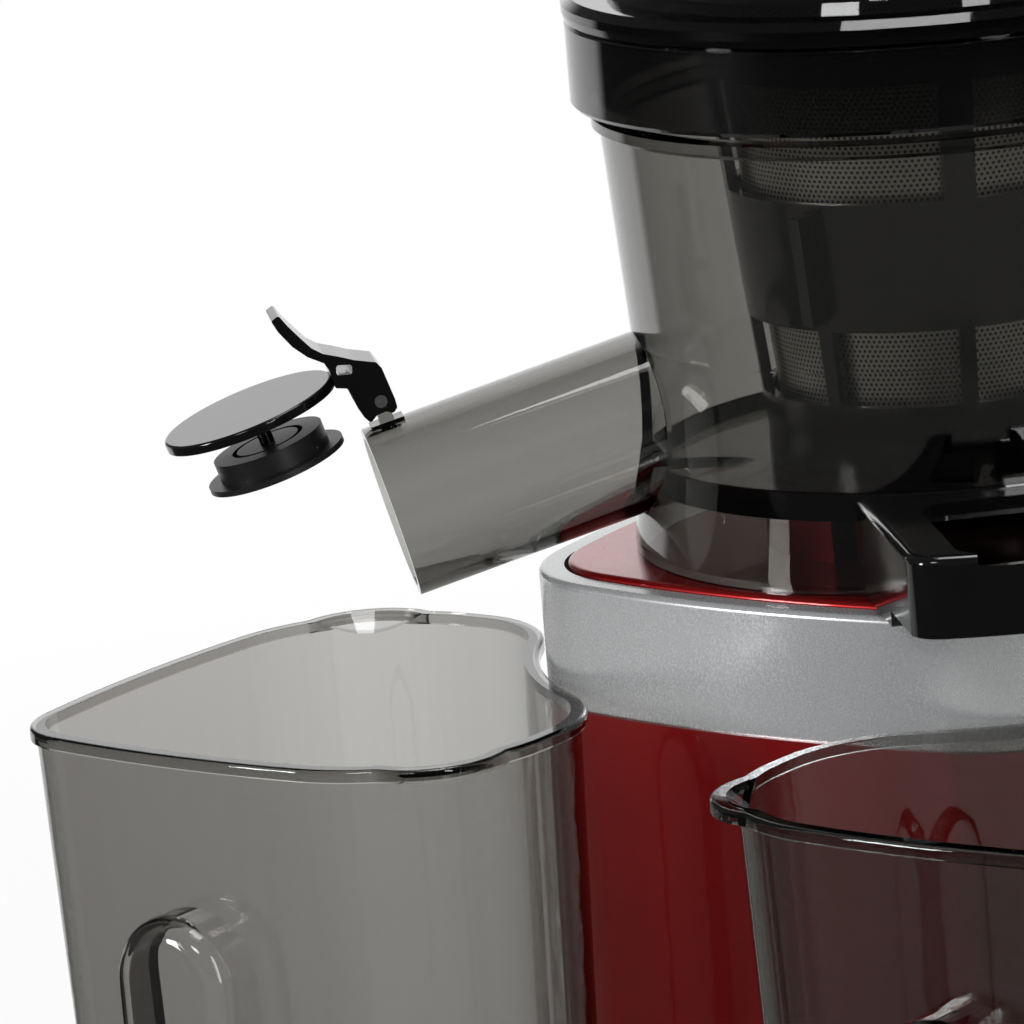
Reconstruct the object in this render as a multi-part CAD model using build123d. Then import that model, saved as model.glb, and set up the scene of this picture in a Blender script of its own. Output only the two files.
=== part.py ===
from build123d import *
import os
from math import atan2, cos, degrees, hypot, pi, radians, sin, sqrt

# Vertical slow juicer with its juice jug and pulp container.
# Millimetres, +Z up, table at z = 0. Everything is modelled about the drive axis and moved to the
# row's origin when it is written: the middle of the set's footprint.
# Front is -Y. The juice spout leaves over the front left corner, the pulp chute over the front right.

# ---------------------------------------------------------------- driving dimensions
FIT = 0.03                  # radial clearance of a shaft in its bearing
SLACK = 0.4                 # clearance between pieces that move past each other

# base: a square with bowed faces and round corners
BASE_HALF = 72.0            # axis to the middle of a face
BASE_BOW = 255.0            # radius of the bowed faces
BASE_CORNER = 30.0          # corner radius
DECK_Z = 165.0              # deck that the bowl stands on
FOOT_H = 5.0
FOOT_R = 11.0
SHELL_WALL = 3.0
SHELL_LEDGE = 8.0           # width of the ledge at the top of the shell
SHELL_TOP = 137.5           # seam between red shell and silver band
SEAM = 0.6                  # height of the dark seam
BAND_WALL = 3.0
BAND_DROP = 1.0             # top of the band below the deck
BAND_RIM = 5.2              # width of the silver ring round the deck
BAND_EDGE = 1.3             # fillet on the outer top edge
DECK_GAP = 0.8              # dark gap between ring and deck panel
DECK_T = 5.0
BOSS_R = 37.0               # raised boss in the middle of the deck
BOSS_H = 12.0
DECK_SEAL_R = 12.0          # shaft seal in the boss
DECK_SEAL_H = 6.5
COVER_T = 3.0
POST_R = 6.0                # screw posts in the corners of the shell
POST_IN = 22.0              # their axes, in from the faces
WEB_T = 3.0                 # web from each post to the shell's corner
VENT_COUNT = 9              # slots in the bottom cover
VENT_L = 34.0
VENT_W = 3.2
VENT_STEP = 7.0
SCREW_R = 1.5
SCREW_BITE = 12.0           # thread's length in its post
SCREW_HEAD_R = 3.0
SCREW_HEAD_T = 2.2

# motor
MOTOR_R = 42.0
MOTOR_LOW = 22.0
MOTOR_WALL = 2.5
CORE_LOW = 34.0
CORE_TOP = 66.0
COIL_H = 7.0
STATOR_BORE = 24.0
ROTOR_GAP = 0.6
ROTOR_SHAFT_R = 4.0
BEARING_T = 7.0
SMALL_BEARING_R = 8.0
FAN_R = 30.0
FAN_H = 7.0

# gearbox: two equal stages, so the output runs on the motor's own axis
CASE_Z = 84.0               # underside of the case, on top of the posts
CASE_GAP = 0.9              # wheel's tips to the case's wall
CASE_WALL = 2.5
CASE_FLOOR = 4.0
CASE_H = 42.0
LID_T = 4.0
LUG_R = 4.0                 # screw lugs on the case's sides
MODULE = 1.125
PINION_TEETH = 12
WHEEL_TEETH = 44
GEAR_T = 12.0
WHEEL_HOLE_R = 4.5          # six lightening holes in each wheel
WHEEL_HOLE_AT = 16.0
AXLE_R = 3.0
AXLE_BOSS = 2.5             # wall of the bosses that hold the axle
SLEEVE_R = 5.2              # sleeve of the layshaft pinion, pressed into the wheel
SHAFT_R = 6.0
HUB_R = 18.0                # bearing hub on the gearbox lid
DRIVE_BEARING_R = 14.0
DRIVE_BEARING_T = 8.0
HEX_AF = 10.0               # drive hexagon, across flats
HEX_LOW = 41.0              # its foot and top above the deck
HEX_TOP = 60.0

# bowl
BOWL_WALL = 2.4
BOWL_R = 64.6               # just under the bead
WAIST_IN = 3.0              # the waist, from the floor to mid height, inside that radius
WAIST_TOP = 44.0
SKIRT_FLARE = 2.4           # foot of the skirt outside the waist
SKIRT_EDGE = 2.0            # upright edge at its foot
SKIRT_TOP = 20.0
FLOOR_CHAMFER = 3.0         # between the floor and the wall
BEAD_PROUD = 1.6
BEAD_HALF = 2.0
BEAD_Z = 88.8
BOWL_TOP = 108.0
FLOOR_Z = 14.0              # underside of the bowl's floor above the deck
FLOOR_T = 3.0
BOWL_HUB_R = 9.5
BOWL_HUB_BORE = 7.6
BOWL_HUB_TOP = 40.0

# spout, in the upright plane over the front left corner
SPOUT_TURN = 225.0
SPOUT_R = 17.75
SPOUT_WALL = 2.0
SPOUT_FALL = 14.0           # degrees below level
SPOUT_REACH = 49.2          # middle of the mouth, out from the bowl's side
SPOUT_ROOT = 28.6           # where its tube starts, inside the bowl's side
MOUTH_Z = 14.5              # middle of the mouth above the deck

# smart cap
PIN_UP = 23.5               # hinge pin above the mouth's middle, along the mouth
PIN_BACK = 5.3              # and behind the mouth's plane
PIN_R = 1.3
CAP_OPEN = 87.0             # degrees from closed to the open rest
PLATE_R = 18.1
PLATE_T = 2.0
PLATE_OFF = 0.8             # plate in front of the mouth when closed
PLATE_LOW = 1.6             # plate's middle below the mouth's middle
PLUG_LOW = 0.5              # plug's middle below the mouth's middle
PLUG_R = 14.4
PLUG_RING_R = 11.6
PLUG_LIP_T = 1.2
PLUG_RING_T = 5.5
PLUG_REACH = 12.4           # from the plate's middle plane to the plug's lip
STEM_R = 1.5
LEVER_W = 12.0
EAR_W = 3.0                 # each side of the upright hinge post
POST_T = 3.0
PAD_L = 7.0                 # pad at the post's foot
PAD_T = 1.6

# pulp chute
CHUTE_TURN = 315.0
CHUTE_HALF = 28.0
CHUTE_WALL = 2.4
CHUTE_TOP = 19.6            # above the deck
CHUTE_LOW = 3.7             # lower edge of the front wall
CHUTE_ROOF = 3.1
CHUTE_OUT = 52.0            # front wall, out from the bowl's skirt
CHUTE_BOW = 90.0
CHUTE_CORNER = 7.0
CHUTE_EDGE = 1.8            # fillet round the top
DROP_OUT = 24.0             # open underside where the pulp falls, out from the skirt
SCOOP_HALF = 18.6           # open top
SCOOP_OUT = 5.0
SCOOP_CORNER = 6.0
LIP_NOTCH = 2.4             # notch in the front wall's top edge
DUCT_LOW = 0.8
DUCT_WALL = 2.0
DUCT_START = 15.0
DUCT_OUT = 7.0              # end of the duct, out from the skirt
DUCT_DROP = 0.5             # top of the duct below the bowl's floor
KIDNEY_IN = 19.0            # pulp passage between auger gear and cage gear
KIDNEY_OUT = 26.1
KIDNEY_HALF = 26.0          # degrees each side
KIDNEY_WALL = 1.2
KIDNEY_TURN = 3.0           # degrees that the wall takes at each end
SEAL_T = 0.9

# strainer and rotating brush cage: cones about the axis
CONE_R = 31.0               # strainer's outside at CONE_Z
CONE_Z = 18.0
CONE_RISE = 0.105           # radius gained per millimetre of height
STRAINER_T = 1.6
MESH_T = 0.4
STRAINER_FLOOR = 27.0
STRAINER_TOP = 101.0
LOW_WINDOW = (31.6, 46.0)
HIGH_WINDOW = (74.5, 97.0)
CAGE_GAP = 1.4
CAGE_T = 2.2
CAGE_TOP = 102.5
BAND_LOW = 47.3
BAND_HIGH = 73.5
ARM_LOW_COUNT = 8
ARM_LOW_W = 3.0
ARM_HIGH_COUNT = 4
ARM_HIGH_W = 6.4
CAGE_TURN = -45.5           # where the first arm stands
WIPER_T = 2.4
WIPER_REACH = 5.0
GEAR_MODULE = 1.5
AUGER_TEETH = 20
IDLER_TEETH = 10
CAGE_TEETH = 40
WATER_GEAR_T = 7.0
IDLER_PIN_R = 2.5

# auger
AUGER_SCREW_LOW = 31.0
AUGER_SCREW_TOP = 86.0
AUGER_TOP = 112.0
AUGER_CORE_R = 15.0
AUGER_TIP_R = 7.0
AUGER_JOURNAL_R = 4.0       # runs in the lid's bearing
AUGER_GAP = 0.9             # flight to strainer
FLIGHT_COUNT = 3
FLIGHT_W = 4.2
FLIGHT_FULL = 64.0          # flights fill the strainer up to here, then draw in
FLIGHT_END_R = 14.0
TWIST = 250.0
HUB_GAP = 0.7               # auger's bore to the bowl's hub
SOCKET_GAP = 0.15
SOCKET_R = 8.0

# lid, tray and pusher
COLLAR_GAP = 2.6            # lid's collar to the bowl's side, room for the bead
COLLAR_LOW = 92.3
COLLAR_WALL = 2.8
COLLAR_SEAM = 109.3
FLANGE_TOP = 114.6
STEP_IN = 9.0               # raised top, in from the collar
STEP_TOP = 118.0
LID_PLATE_T = 3.0
LID_HUB_R = 7.5             # bearing of the auger's journal, on a bridge across the feed tube
TUBE_BACK = 16.0            # feed tube behind the drive axis
TUBE_L = 58.0
TUBE_W = 46.0
TUBE_WALL = 2.6
TUBE_TOP = 205.0
TRAY_L = 120.0
TRAY_W = 92.0
TRAY_H = 15.0
TRAY_WALL = 2.2
TRAY_CORNER = 26.0
TRAY_SKIRT = 14.0
PUSHER_GAP = 0.8
PUSHER_WALL = 2.2
PUSHER_SHORT = 4.0          # its foot above the lid's top
PUSHER_RISE = 22.0          # its top above the feed tube
KNOB_H = 7.0

# jug and pulp container: rounded squares with a scooped corner towards the base
CUP_TUCK = 44.0             # how far its inner sides stand inside the base's face
CUP_W = 113.5
CUP_BOW = 290.0             # radius of the two bowed outer sides
CUP_TIP_R = 17.0            # outer corner
CUP_LIP_CORNER = 35.0       # corners that carry the pour lips
CUP_SCOOP_R = 90.0
CUP_GAP = 2.3               # scoop to the base's corner
CUP_SIDE_TAKEN = 85.5       # of an inner side, by the scoop and the lip's corner; the lobe rounds the rest
CUP_RIM = 143.6
CUP_WALL = 2.0
CUP_FLOOR = 3.0
CUP_DRAFT = 4.6             # taper of each side from rim to foot
RIM_PROUD = 1.2
RIM_H = 2.6
LIP_R = 16.0
LIP_PROUD = 7.0
LIP_SLOPE = 1.35            # how much of its reach a lip loses down to its foot
LIP_H = 9.0
KINK_R = 4.0
GRIP_W = 29.0
GRIP_OUT = 10.0
GRIP_TOP = 112.0
GRIP_ASIDE = 6.0            # from the wall's middle to the middle of its flat stretch
GRIP_LOW = 26.0
GRIP_EDGE = 5.0

# rear fittings and electrics
SWITCH_Z = 62.0
SWITCH_W = 15.0
SWITCH_H = 22.0
BEZEL_RIM = 3.0
BEZEL_T = 1.2
BEZEL_WALL = 1.2
BEZEL_DEPTH = 18.0
ROCKER_PIVOT_IN = 5.0       # pivot behind the rear face
ROCKER_PIN_R = 1.2
ROCKER_GAP = 1.4            # rocker's ends to the bezel, room to tip
GLAND_Z = 30.0
GLAND_R = 6.0
GLAND_RIM = 2.5
GLAND_RIM_T = 2.0
GLAND_DEPTH = 9.0
GLAND_BORE = 3.2
BOARD_IN = 14.0             # board behind the front face
BOARD_TOP = 130.0
BOARD_H = 38.0
BOARD_W = 48.0
BOARD_T = 1.6
BRACKET_AT = 18.0
CHIP_T = 8.0
CAPACITOR_R = 8.0
CAPACITOR_H = 40.0

# ---------------------------------------------------------------- derived values and helpers
FLOOR = (Align.CENTER, Align.CENTER, Align.MIN)
BAND_TOP = DECK_Z - BAND_DROP
DECK_LOW = DECK_Z - DECK_T
COVER_TOP = FOOT_H + COVER_T
CENTRES = MODULE * (PINION_TEETH + WHEEL_TEETH) / 2
CASE_R = MODULE * (WHEEL_TEETH / 2 + 1) + CASE_GAP + CASE_WALL
IDLER_AT = GEAR_MODULE * (AUGER_TEETH + IDLER_TEETH) / 2
POST_AT = BASE_HALF - POST_IN
POSTS = [(x, y) for x in (-POST_AT, POST_AT) for y in (-POST_AT, POST_AT)]
BOWL_FLOOR_TOP = FLOOR_Z + FLOOR_T
CAGE_LOW = BOWL_FLOOR_TOP       # the gears of cage, idler and auger all run on the bowl's floor
AUGER_LOW = BOWL_FLOOR_TOP
GEAR_TOP = CAGE_LOW + WATER_GEAR_T
WAIST_R = BOWL_R - WAIST_IN
SKIRT_R = WAIST_R + SKIRT_FLARE
CAVITY_R = BOWL_R - BOWL_WALL
CAVITY_WAIST_R = WAIST_R - BOWL_WALL
BEAD_R = BOWL_R + BEAD_PROUD
COLLAR_R = BOWL_R + COLLAR_GAP + COLLAR_WALL
STEP_R = COLLAR_R - STEP_IN
STEP_LOW = STEP_TOP - LID_PLATE_T
MOUTH_T = BOWL_R + SPOUT_REACH
SPOUT_LENGTH = (SPOUT_REACH + SPOUT_ROOT) / cos(radians(SPOUT_FALL))
CHUTE_REACH = SKIRT_R + CHUTE_OUT
DUCT_REACH = SKIRT_R + DUCT_OUT
DUCT_TOP = BOWL_FLOOR_TOP - DUCT_DROP
PUSHER_LOW = STEP_TOP + PUSHER_SHORT
PUSHER_TOP = TUBE_TOP + PUSHER_RISE


def corner_reach(half, bow, corner):
    """How far a bowed square's rounded corner reaches from its middle."""
    centre = (sqrt(2 * (bow - corner) ** 2 - (bow - half) ** 2) - (bow - half)) / 2
    return centre * sqrt(2) + corner


# both cups hug a front corner of the base
CUP_NEAR = BASE_HALF - CUP_TUCK
CUP_FAR = CUP_NEAR + CUP_W
CUP_MIDDLE = (CUP_NEAR + CUP_FAR) / 2
CUP_LOBE_R = CUP_W - CUP_SIDE_TAKEN
CUP_SCOOP_AT = corner_reach(BASE_HALF, BASE_BOW, BASE_CORNER) + CUP_GAP

# middle of the whole set's footprint, seen from the drive axis
SET_FRONT = CUP_FAR + GRIP_OUT
SET_BACK = BASE_HALF + BEZEL_T
AXIS_Y = (SET_FRONT - SET_BACK) / 2


def drum(radius, low, high, x=0.0, y=0.0):
    return Pos(x, y, low) * Cylinder(radius, high - low, align=FLOOR)


def ring(outer, inner, low, high, x=0.0, y=0.0):
    return drum(outer, low, high, x, y) - drum(inner, low, high, x, y)


def block(x0, x1, y0, y1, z0, z1):
    return Pos((x0 + x1) / 2, (y0 + y1) / 2, z0) * Box(x1 - x0, y1 - y0, z1 - z0, align=FLOOR)


def slab(sketch, low, high):
    return extrude(Plane.XY.offset(low) * sketch, high - low)


def turned(points):
    return revolve(Plane.XZ * make_face(Polyline(points, close=True)), axis=Axis.Z)


def above_deck(shape):
    return Pos(0, 0, DECK_Z) * shape


def base_outline(inset=0.0):
    """The base's plan, drawn in by an amount."""
    side = Pos(BASE_HALF - BASE_BOW, 0) * Circle(BASE_BOW - inset)
    square = side & (Rot(0, 0, 90) * side) & (Rot(0, 0, 180) * side) & (Rot(0, 0, 270) * side)
    return fillet(square.vertices(), BASE_CORNER - inset)


def tooth_ring(teeth, module, inward=False):
    """Plan of a spur gear's teeth with straight flanks; inward for an internal gear."""
    pitch = module * teeth / 2
    way = -1 if inward else 1
    tip, root = pitch + way * module, pitch - way * 1.25 * module
    step = 2 * pi / teeth
    wide, narrow = 0.28 * step, 0.12 * step
    points = []
    for n in range(teeth):
        middle = n * step
        for radius, turn in ((root, -wide), (tip, -narrow), (tip, narrow), (root, wide)):
            points.append((radius * cos(middle + turn), radius * sin(middle + turn)))
    return make_face(Polyline(points, close=True))


def spur(teeth, module, low, high, turn=0.0, x=0.0, y=0.0):
    return Pos(x, y, 0) * Rot(0, 0, turn) * slab(tooth_ring(teeth, module), low, high)


# ---------------------------------------------------------------- base
def base_shell():
    body = slab(base_outline(), FOOT_H, SHELL_TOP)
    body = fillet(body.edges().group_by(Axis.Z)[0], 2.0)
    body -= slab(base_outline(SHELL_WALL), FOOT_H - 1, SHELL_TOP - SHELL_WALL)
    body -= slab(base_outline(SHELL_LEDGE), FOOT_H, SHELL_TOP + 1)
    inside = slab(base_outline(SHELL_WALL / 2), COVER_TOP, CASE_Z)
    for x, y in POSTS:
        body += drum(POST_R, COVER_TOP, CASE_Z, x, y)
        web = block(POST_AT * sqrt(2), BASE_HALF * 1.3, -WEB_T / 2, WEB_T / 2, COVER_TOP, CASE_Z)
        body += (Rot(0, 0, degrees(atan2(y, x))) * web) & inside
    depth = SCREW_BITE + 2
    for x, y in POSTS:
        body -= drum(SCREW_R, COVER_TOP - 1, COVER_TOP + depth, x, y)
        body -= drum(SCREW_R, CASE_Z - depth, CASE_Z + 1, x, y)
    low, high = SWITCH_Z - SWITCH_H / 2, SWITCH_Z + SWITCH_H / 2
    body -= block(-SWITCH_W / 2, SWITCH_W / 2, 0, BASE_HALF + 5, low, high)
    return body - gland_drum(GLAND_R, BASE_HALF - 10, BASE_HALF + 5)


def silver_band():
    body = slab(base_outline(), SHELL_TOP + SEAM, BAND_TOP)
    body = fillet(body.edges().group_by(Axis.Z)[-1], BAND_EDGE)
    body += slab(base_outline(BAND_WALL * 0.4), SHELL_TOP, SHELL_TOP + SEAM)
    body -= slab(base_outline(BAND_WALL), SHELL_TOP - 1, DECK_LOW - 2)
    body -= slab(base_outline(BAND_RIM + 4), SHELL_TOP, DECK_LOW + 1)
    body -= slab(base_outline(BAND_RIM), DECK_LOW, BAND_TOP + 1)
    return body


def deck_panel():
    panel = slab(base_outline(BAND_RIM + DECK_GAP), DECK_LOW, DECK_Z)
    panel = fillet(panel.edges().group_by(Axis.Z)[-1], 1.2)
    side = [(BOSS_R, -1), (BOSS_R, BOSS_H - 1.5), (BOSS_R - 0.5, BOSS_H - 0.5), (BOSS_R - 1.5, BOSS_H)]
    boss = above_deck(turned([(DECK_SEAL_R, -1)] + side + [(DECK_SEAL_R, BOSS_H)]))
    channel = block(DUCT_START - 1, BOSS_R + 5, -CHUTE_HALF, CHUTE_HALF, DECK_Z, DECK_Z + BOSS_H + 1)
    panel += boss - Rot(0, 0, CHUTE_TURN) * channel
    return panel - drum(SHAFT_R + 2, DECK_LOW - 1, DECK_Z + 1)


def bottom_cover():
    plate = slab(base_outline(SHELL_WALL + 0.4), FOOT_H, COVER_TOP)
    for x, y in POSTS:
        plate -= drum(SCREW_R + 0.2, FOOT_H - 1, COVER_TOP + 1, x, y)
    for n in range(VENT_COUNT):
        y = (n - (VENT_COUNT - 1) / 2) * VENT_STEP
        plate -= slab(Pos(0, y) * SlotOverall(VENT_L, VENT_W), FOOT_H - 1, COVER_TOP + 1)
    return plate


def rubber_feet():
    hole = SCREW_HEAD_R + 1
    bottom = [(hole, 0.8), (hole + 0.8, 0), (FOOT_R - 1.2, 0), (FOOT_R, 1.2)]
    foot = turned(bottom + [(FOOT_R - 1, FOOT_H), (hole, FOOT_H)])
    return [Pos(x, y, 0) * foot for x, y in POSTS]


def screw_down(x, y, seat, length):
    """A screw whose head sits on top of a seat and points down."""
    head = drum(SCREW_HEAD_R, seat, seat + SCREW_HEAD_T, x, y)
    return head + drum(SCREW_R, seat - length, seat, x, y)


def cover_screws():
    screws = []
    for x, y in POSTS:
        head = drum(SCREW_HEAD_R, FOOT_H - SCREW_HEAD_T, FOOT_H, x, y)
        screws.append(head + drum(SCREW_R, FOOT_H, COVER_TOP + SCREW_BITE, x, y))
    return screws


# ---------------------------------------------------------------- motor
def motor_can():
    can = drum(MOTOR_R, MOTOR_LOW, CASE_Z) - drum(MOTOR_R - MOTOR_WALL, MOTOR_LOW + MOTOR_WALL, CASE_Z)
    can += ring(SMALL_BEARING_R + 2, SMALL_BEARING_R, MOTOR_LOW, MOTOR_LOW + BEARING_T)
    can -= drum(SMALL_BEARING_R, MOTOR_LOW, MOTOR_LOW + BEARING_T)
    slot = Pos(MOTOR_R - 15, 0) * SlotOverall(16, 5)
    for n in range(8):
        can -= Rot(0, 0, n * 45) * slab(slot, MOTOR_LOW - 1, MOTOR_LOW + MOTOR_WALL + 1)
    return can


def stator_core():
    core = ring(MOTOR_R - MOTOR_WALL, STATOR_BORE, CORE_LOW, CORE_TOP)
    slot = block(STATOR_BORE - 1, STATOR_BORE + 9, -1.6, 1.6, CORE_LOW, CORE_TOP)
    for n in range(12):
        core -= Rot(0, 0, n * 30) * slot
    return core


def stator_windings():
    coils = []
    for low in (CORE_LOW - COIL_H, CORE_TOP):
        coil = ring(MOTOR_R - MOTOR_WALL - 3, STATOR_BORE + 2, low, low + COIL_H)
        outer = coil.edges().filter_by(GeomType.CIRCLE).group_by(Axis.Z)[0 if low < CORE_LOW else -1]
        coils.append(fillet(outer, 2.0))
    return coils


def rotor_core():
    core = ring(STATOR_BORE - ROTOR_GAP, ROTOR_SHAFT_R, CORE_LOW, CORE_TOP)
    return core + ring(STATOR_BORE - 4, ROTOR_SHAFT_R, CORE_LOW - 2, CORE_TOP + 2)


def rotor_shaft():
    return drum(ROTOR_SHAFT_R, MOTOR_LOW - FAN_H - 3, CASE_Z + CASE_FLOOR + 4 + GEAR_T)


def cooling_fan():
    top = MOTOR_LOW - 2
    fan = ring(ROTOR_SHAFT_R + 3, ROTOR_SHAFT_R, top - FAN_H, top)
    fan += ring(FAN_R, ROTOR_SHAFT_R, top - 1.5, top)
    for n in range(9):
        fan += Rot(0, 0, n * 40) * block(ROTOR_SHAFT_R + 2, FAN_R, -0.7, 0.7, top - FAN_H, top - 1)
    return fan


def motor_bearings():
    low = ring(SMALL_BEARING_R, ROTOR_SHAFT_R + FIT, MOTOR_LOW, MOTOR_LOW + BEARING_T)
    top = CASE_Z + CASE_FLOOR
    return [low, ring(SMALL_BEARING_R, ROTOR_SHAFT_R + FIT, top - BEARING_T, top)]


# ---------------------------------------------------------------- gearbox
PINION_LOW = CASE_Z + CASE_FLOOR + 4
STAGE_TWO = PINION_LOW + GEAR_T + 2
AXLE_LOW = CASE_Z + 1
CASE_TOP = CASE_Z + CASE_H
LUGS = [(side * (CASE_R + LUG_R / 2), y) for side in (-1, 1) for y in (LUG_R, CENTRES - LUG_R)]


def case_outline(inset=0.0):
    slot = SlotCenterToCenter(CENTRES, 2 * (CASE_R - inset))
    return Pos(0, CENTRES / 2) * Rot(0, 0, 90) * slot


def case_arm(x, y):
    post = Pos(x, y) * Circle(POST_R)
    root = Pos(x * 0.35, CENTRES / 2 + (y - CENTRES / 2) * 0.35) * Circle(POST_R + 3)
    return make_hull(post.edges() + root.edges())


def gearbox_case():
    body = slab(case_outline(), CASE_Z, CASE_TOP)
    for x, y in POSTS:
        body += slab(case_arm(x, y), CASE_Z, CASE_Z + CASE_FLOOR)
    for x, y in LUGS:
        body += drum(LUG_R, CASE_Z, CASE_TOP, x, y)
    body += ring(SMALL_BEARING_R + 2, SMALL_BEARING_R, CASE_Z - 3, CASE_Z)
    body -= slab(case_outline(CASE_WALL), CASE_Z + CASE_FLOOR, CASE_TOP + 1)
    body += drum(AXLE_R + AXLE_BOSS, CASE_Z + CASE_FLOOR, PINION_LOW - SLACK, 0, CENTRES)
    body -= drum(SMALL_BEARING_R, CASE_Z - 4, CASE_Z + CASE_FLOOR + 1)
    body -= drum(AXLE_R, AXLE_LOW, PINION_LOW, 0, CENTRES)
    for x, y in POSTS:
        body -= drum(SCREW_R, CASE_Z - 1, CASE_Z + CASE_FLOOR + 1, x, y)
    for x, y in LUGS:
        body -= drum(SCREW_R, CASE_TOP - SCREW_BITE, CASE_TOP + 1, x, y)
    return body


LID_TOP = CASE_TOP + LID_T
HUB_LOW = STAGE_TWO + GEAR_T + SLACK
HUB_TOP = DECK_LOW


def gearbox_lid():
    body = slab(case_outline(), CASE_TOP, LID_TOP)
    for x, y in LUGS:
        body += drum(LUG_R, CASE_TOP, LID_TOP, x, y)
    body += drum(HUB_R, HUB_LOW, HUB_TOP)
    body += drum(AXLE_R + AXLE_BOSS, HUB_LOW, LID_TOP, 0, CENTRES)
    body -= drum(DRIVE_BEARING_R, HUB_LOW - 1, HUB_LOW + DRIVE_BEARING_T)
    body -= drum(DRIVE_BEARING_R, HUB_TOP - DRIVE_BEARING_T, HUB_TOP + 1)
    body -= drum(SHAFT_R + 4, HUB_LOW, HUB_TOP)
    body -= drum(AXLE_R, HUB_LOW - 1, LID_TOP - 1, 0, CENTRES)
    for x, y in LUGS:
        body -= drum(SCREW_R, CASE_TOP - 1, LID_TOP + 1, x, y)
    return body


def layshaft_axle():
    return drum(AXLE_R, AXLE_LOW, LID_TOP - 1, 0, CENTRES)


def layshaft_wheel():
    wheel = spur(WHEEL_TEETH, MODULE, PINION_LOW, PINION_LOW + GEAR_T, 0, 0, CENTRES)
    for n in range(6):
        hole = Rot(0, 0, 60 * n) * drum(WHEEL_HOLE_R, PINION_LOW - 1, STAGE_TWO, WHEEL_HOLE_AT, 0)
        wheel -= Pos(0, CENTRES, 0) * hole
    return wheel - drum(SLEEVE_R, PINION_LOW, PINION_LOW + GEAR_T, 0, CENTRES)


def mesh_turn(teeth):
    """Turn that puts a gap of the pinion opposite the wheel's tooth on the line of centres."""
    return 90.0 + 180.0 / teeth


def layshaft_pinion():
    body = drum(SLEEVE_R, PINION_LOW, STAGE_TWO, 0, CENTRES)
    turn = mesh_turn(PINION_TEETH) + 180
    body += spur(PINION_TEETH, MODULE, STAGE_TWO, STAGE_TWO + GEAR_T, turn, 0, CENTRES)
    return body - drum(AXLE_R + FIT, PINION_LOW, STAGE_TWO + GEAR_T, 0, CENTRES)


def motor_pinion():
    gear = spur(PINION_TEETH, MODULE, PINION_LOW, PINION_LOW + GEAR_T, mesh_turn(PINION_TEETH))
    return gear - drum(ROTOR_SHAFT_R, PINION_LOW, PINION_LOW + GEAR_T)


def output_wheel():
    wheel = spur(WHEEL_TEETH, MODULE, STAGE_TWO, STAGE_TWO + GEAR_T)
    hole = drum(WHEEL_HOLE_R, STAGE_TWO - 1, STAGE_TWO + GEAR_T + 1, WHEEL_HOLE_AT, 0)
    for n in range(6):
        wheel -= Rot(0, 0, 60 * n) * hole
    return wheel - drum(SHAFT_R, STAGE_TWO, STAGE_TWO + GEAR_T)


def hexagon(across, low, high):
    return slab(RegularPolygon(across / 2, 6, major_radius=False), low, high)


def drive_shaft():
    shaft = drum(SHAFT_R, STAGE_TWO, DECK_Z + HEX_LOW)
    return shaft + hexagon(HEX_AF, DECK_Z + HEX_LOW, DECK_Z + HEX_TOP)


def drive_bearings():
    low = ring(DRIVE_BEARING_R, SHAFT_R + FIT, HUB_LOW, HUB_LOW + DRIVE_BEARING_T)
    return [low, ring(DRIVE_BEARING_R, SHAFT_R + FIT, HUB_TOP - DRIVE_BEARING_T, HUB_TOP)]


def gearbox_screws():
    corners = [screw_down(x, y, CASE_Z + CASE_FLOOR, SCREW_BITE) for x, y in POSTS]
    return corners + [screw_down(x, y, LID_TOP, SCREW_BITE) for x, y in LUGS]


def deck_seal():
    outside = [(SHAFT_R + 2, 0), (DECK_SEAL_R, 0), (DECK_SEAL_R, DECK_SEAL_H), (SHAFT_R + 3.5, DECK_SEAL_H)]
    lip = [(SHAFT_R + 2, 3.5), (SHAFT_R + 0.1, 4.0), (SHAFT_R + 0.1, 3.0)]
    return above_deck(turned(outside + lip))


# ---------------------------------------------------------------- rear fittings and electrics
def gland_drum(radius, start, end):
    return Pos(0, start, GLAND_Z) * Rot(-90, 0, 0) * Cylinder(radius, end - start, align=FLOOR)


def cord_gland():
    low, high = GLAND_Z - 2 * GLAND_R, GLAND_Z + 2 * GLAND_R
    rim = slab(base_outline(-GLAND_RIM_T) - base_outline(), low, high)
    body = rim & gland_drum(GLAND_R + GLAND_RIM, BASE_HALF - 5, BASE_HALF + 5)
    body += gland_drum(GLAND_R, BASE_HALF - GLAND_DEPTH, BASE_HALF) & slab(base_outline(), low, high)
    return body - gland_drum(GLAND_BORE, BASE_HALF - GLAND_DEPTH - 1, BASE_HALF + 5)


def switch_bezel():
    half_w, half_h = SWITCH_W / 2, SWITCH_H / 2
    low, high = SWITCH_Z - half_h, SWITCH_Z + half_h
    outline = base_outline(-BEZEL_T)
    rim = slab(outline - base_outline(), low - BEZEL_RIM, high + BEZEL_RIM)
    side, end = half_w + BEZEL_RIM, BASE_HALF + 5
    rim &= block(-side, side, 0, end, low - BEZEL_RIM, high + BEZEL_RIM)
    box = block(-half_w, half_w, BASE_HALF - BEZEL_DEPTH, end, low, high) & slab(outline, low, high)
    side, back = half_w - BEZEL_WALL, BASE_HALF - BEZEL_DEPTH + 2
    well = block(-side, side, back, end, low + BEZEL_WALL, high - BEZEL_WALL)
    pin = Pos(0, BASE_HALF - ROCKER_PIVOT_IN, SWITCH_Z) * Rot(0, 90, 0) * Cylinder(ROCKER_PIN_R, SWITCH_W - 1)
    return rim + box - well + pin


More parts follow.
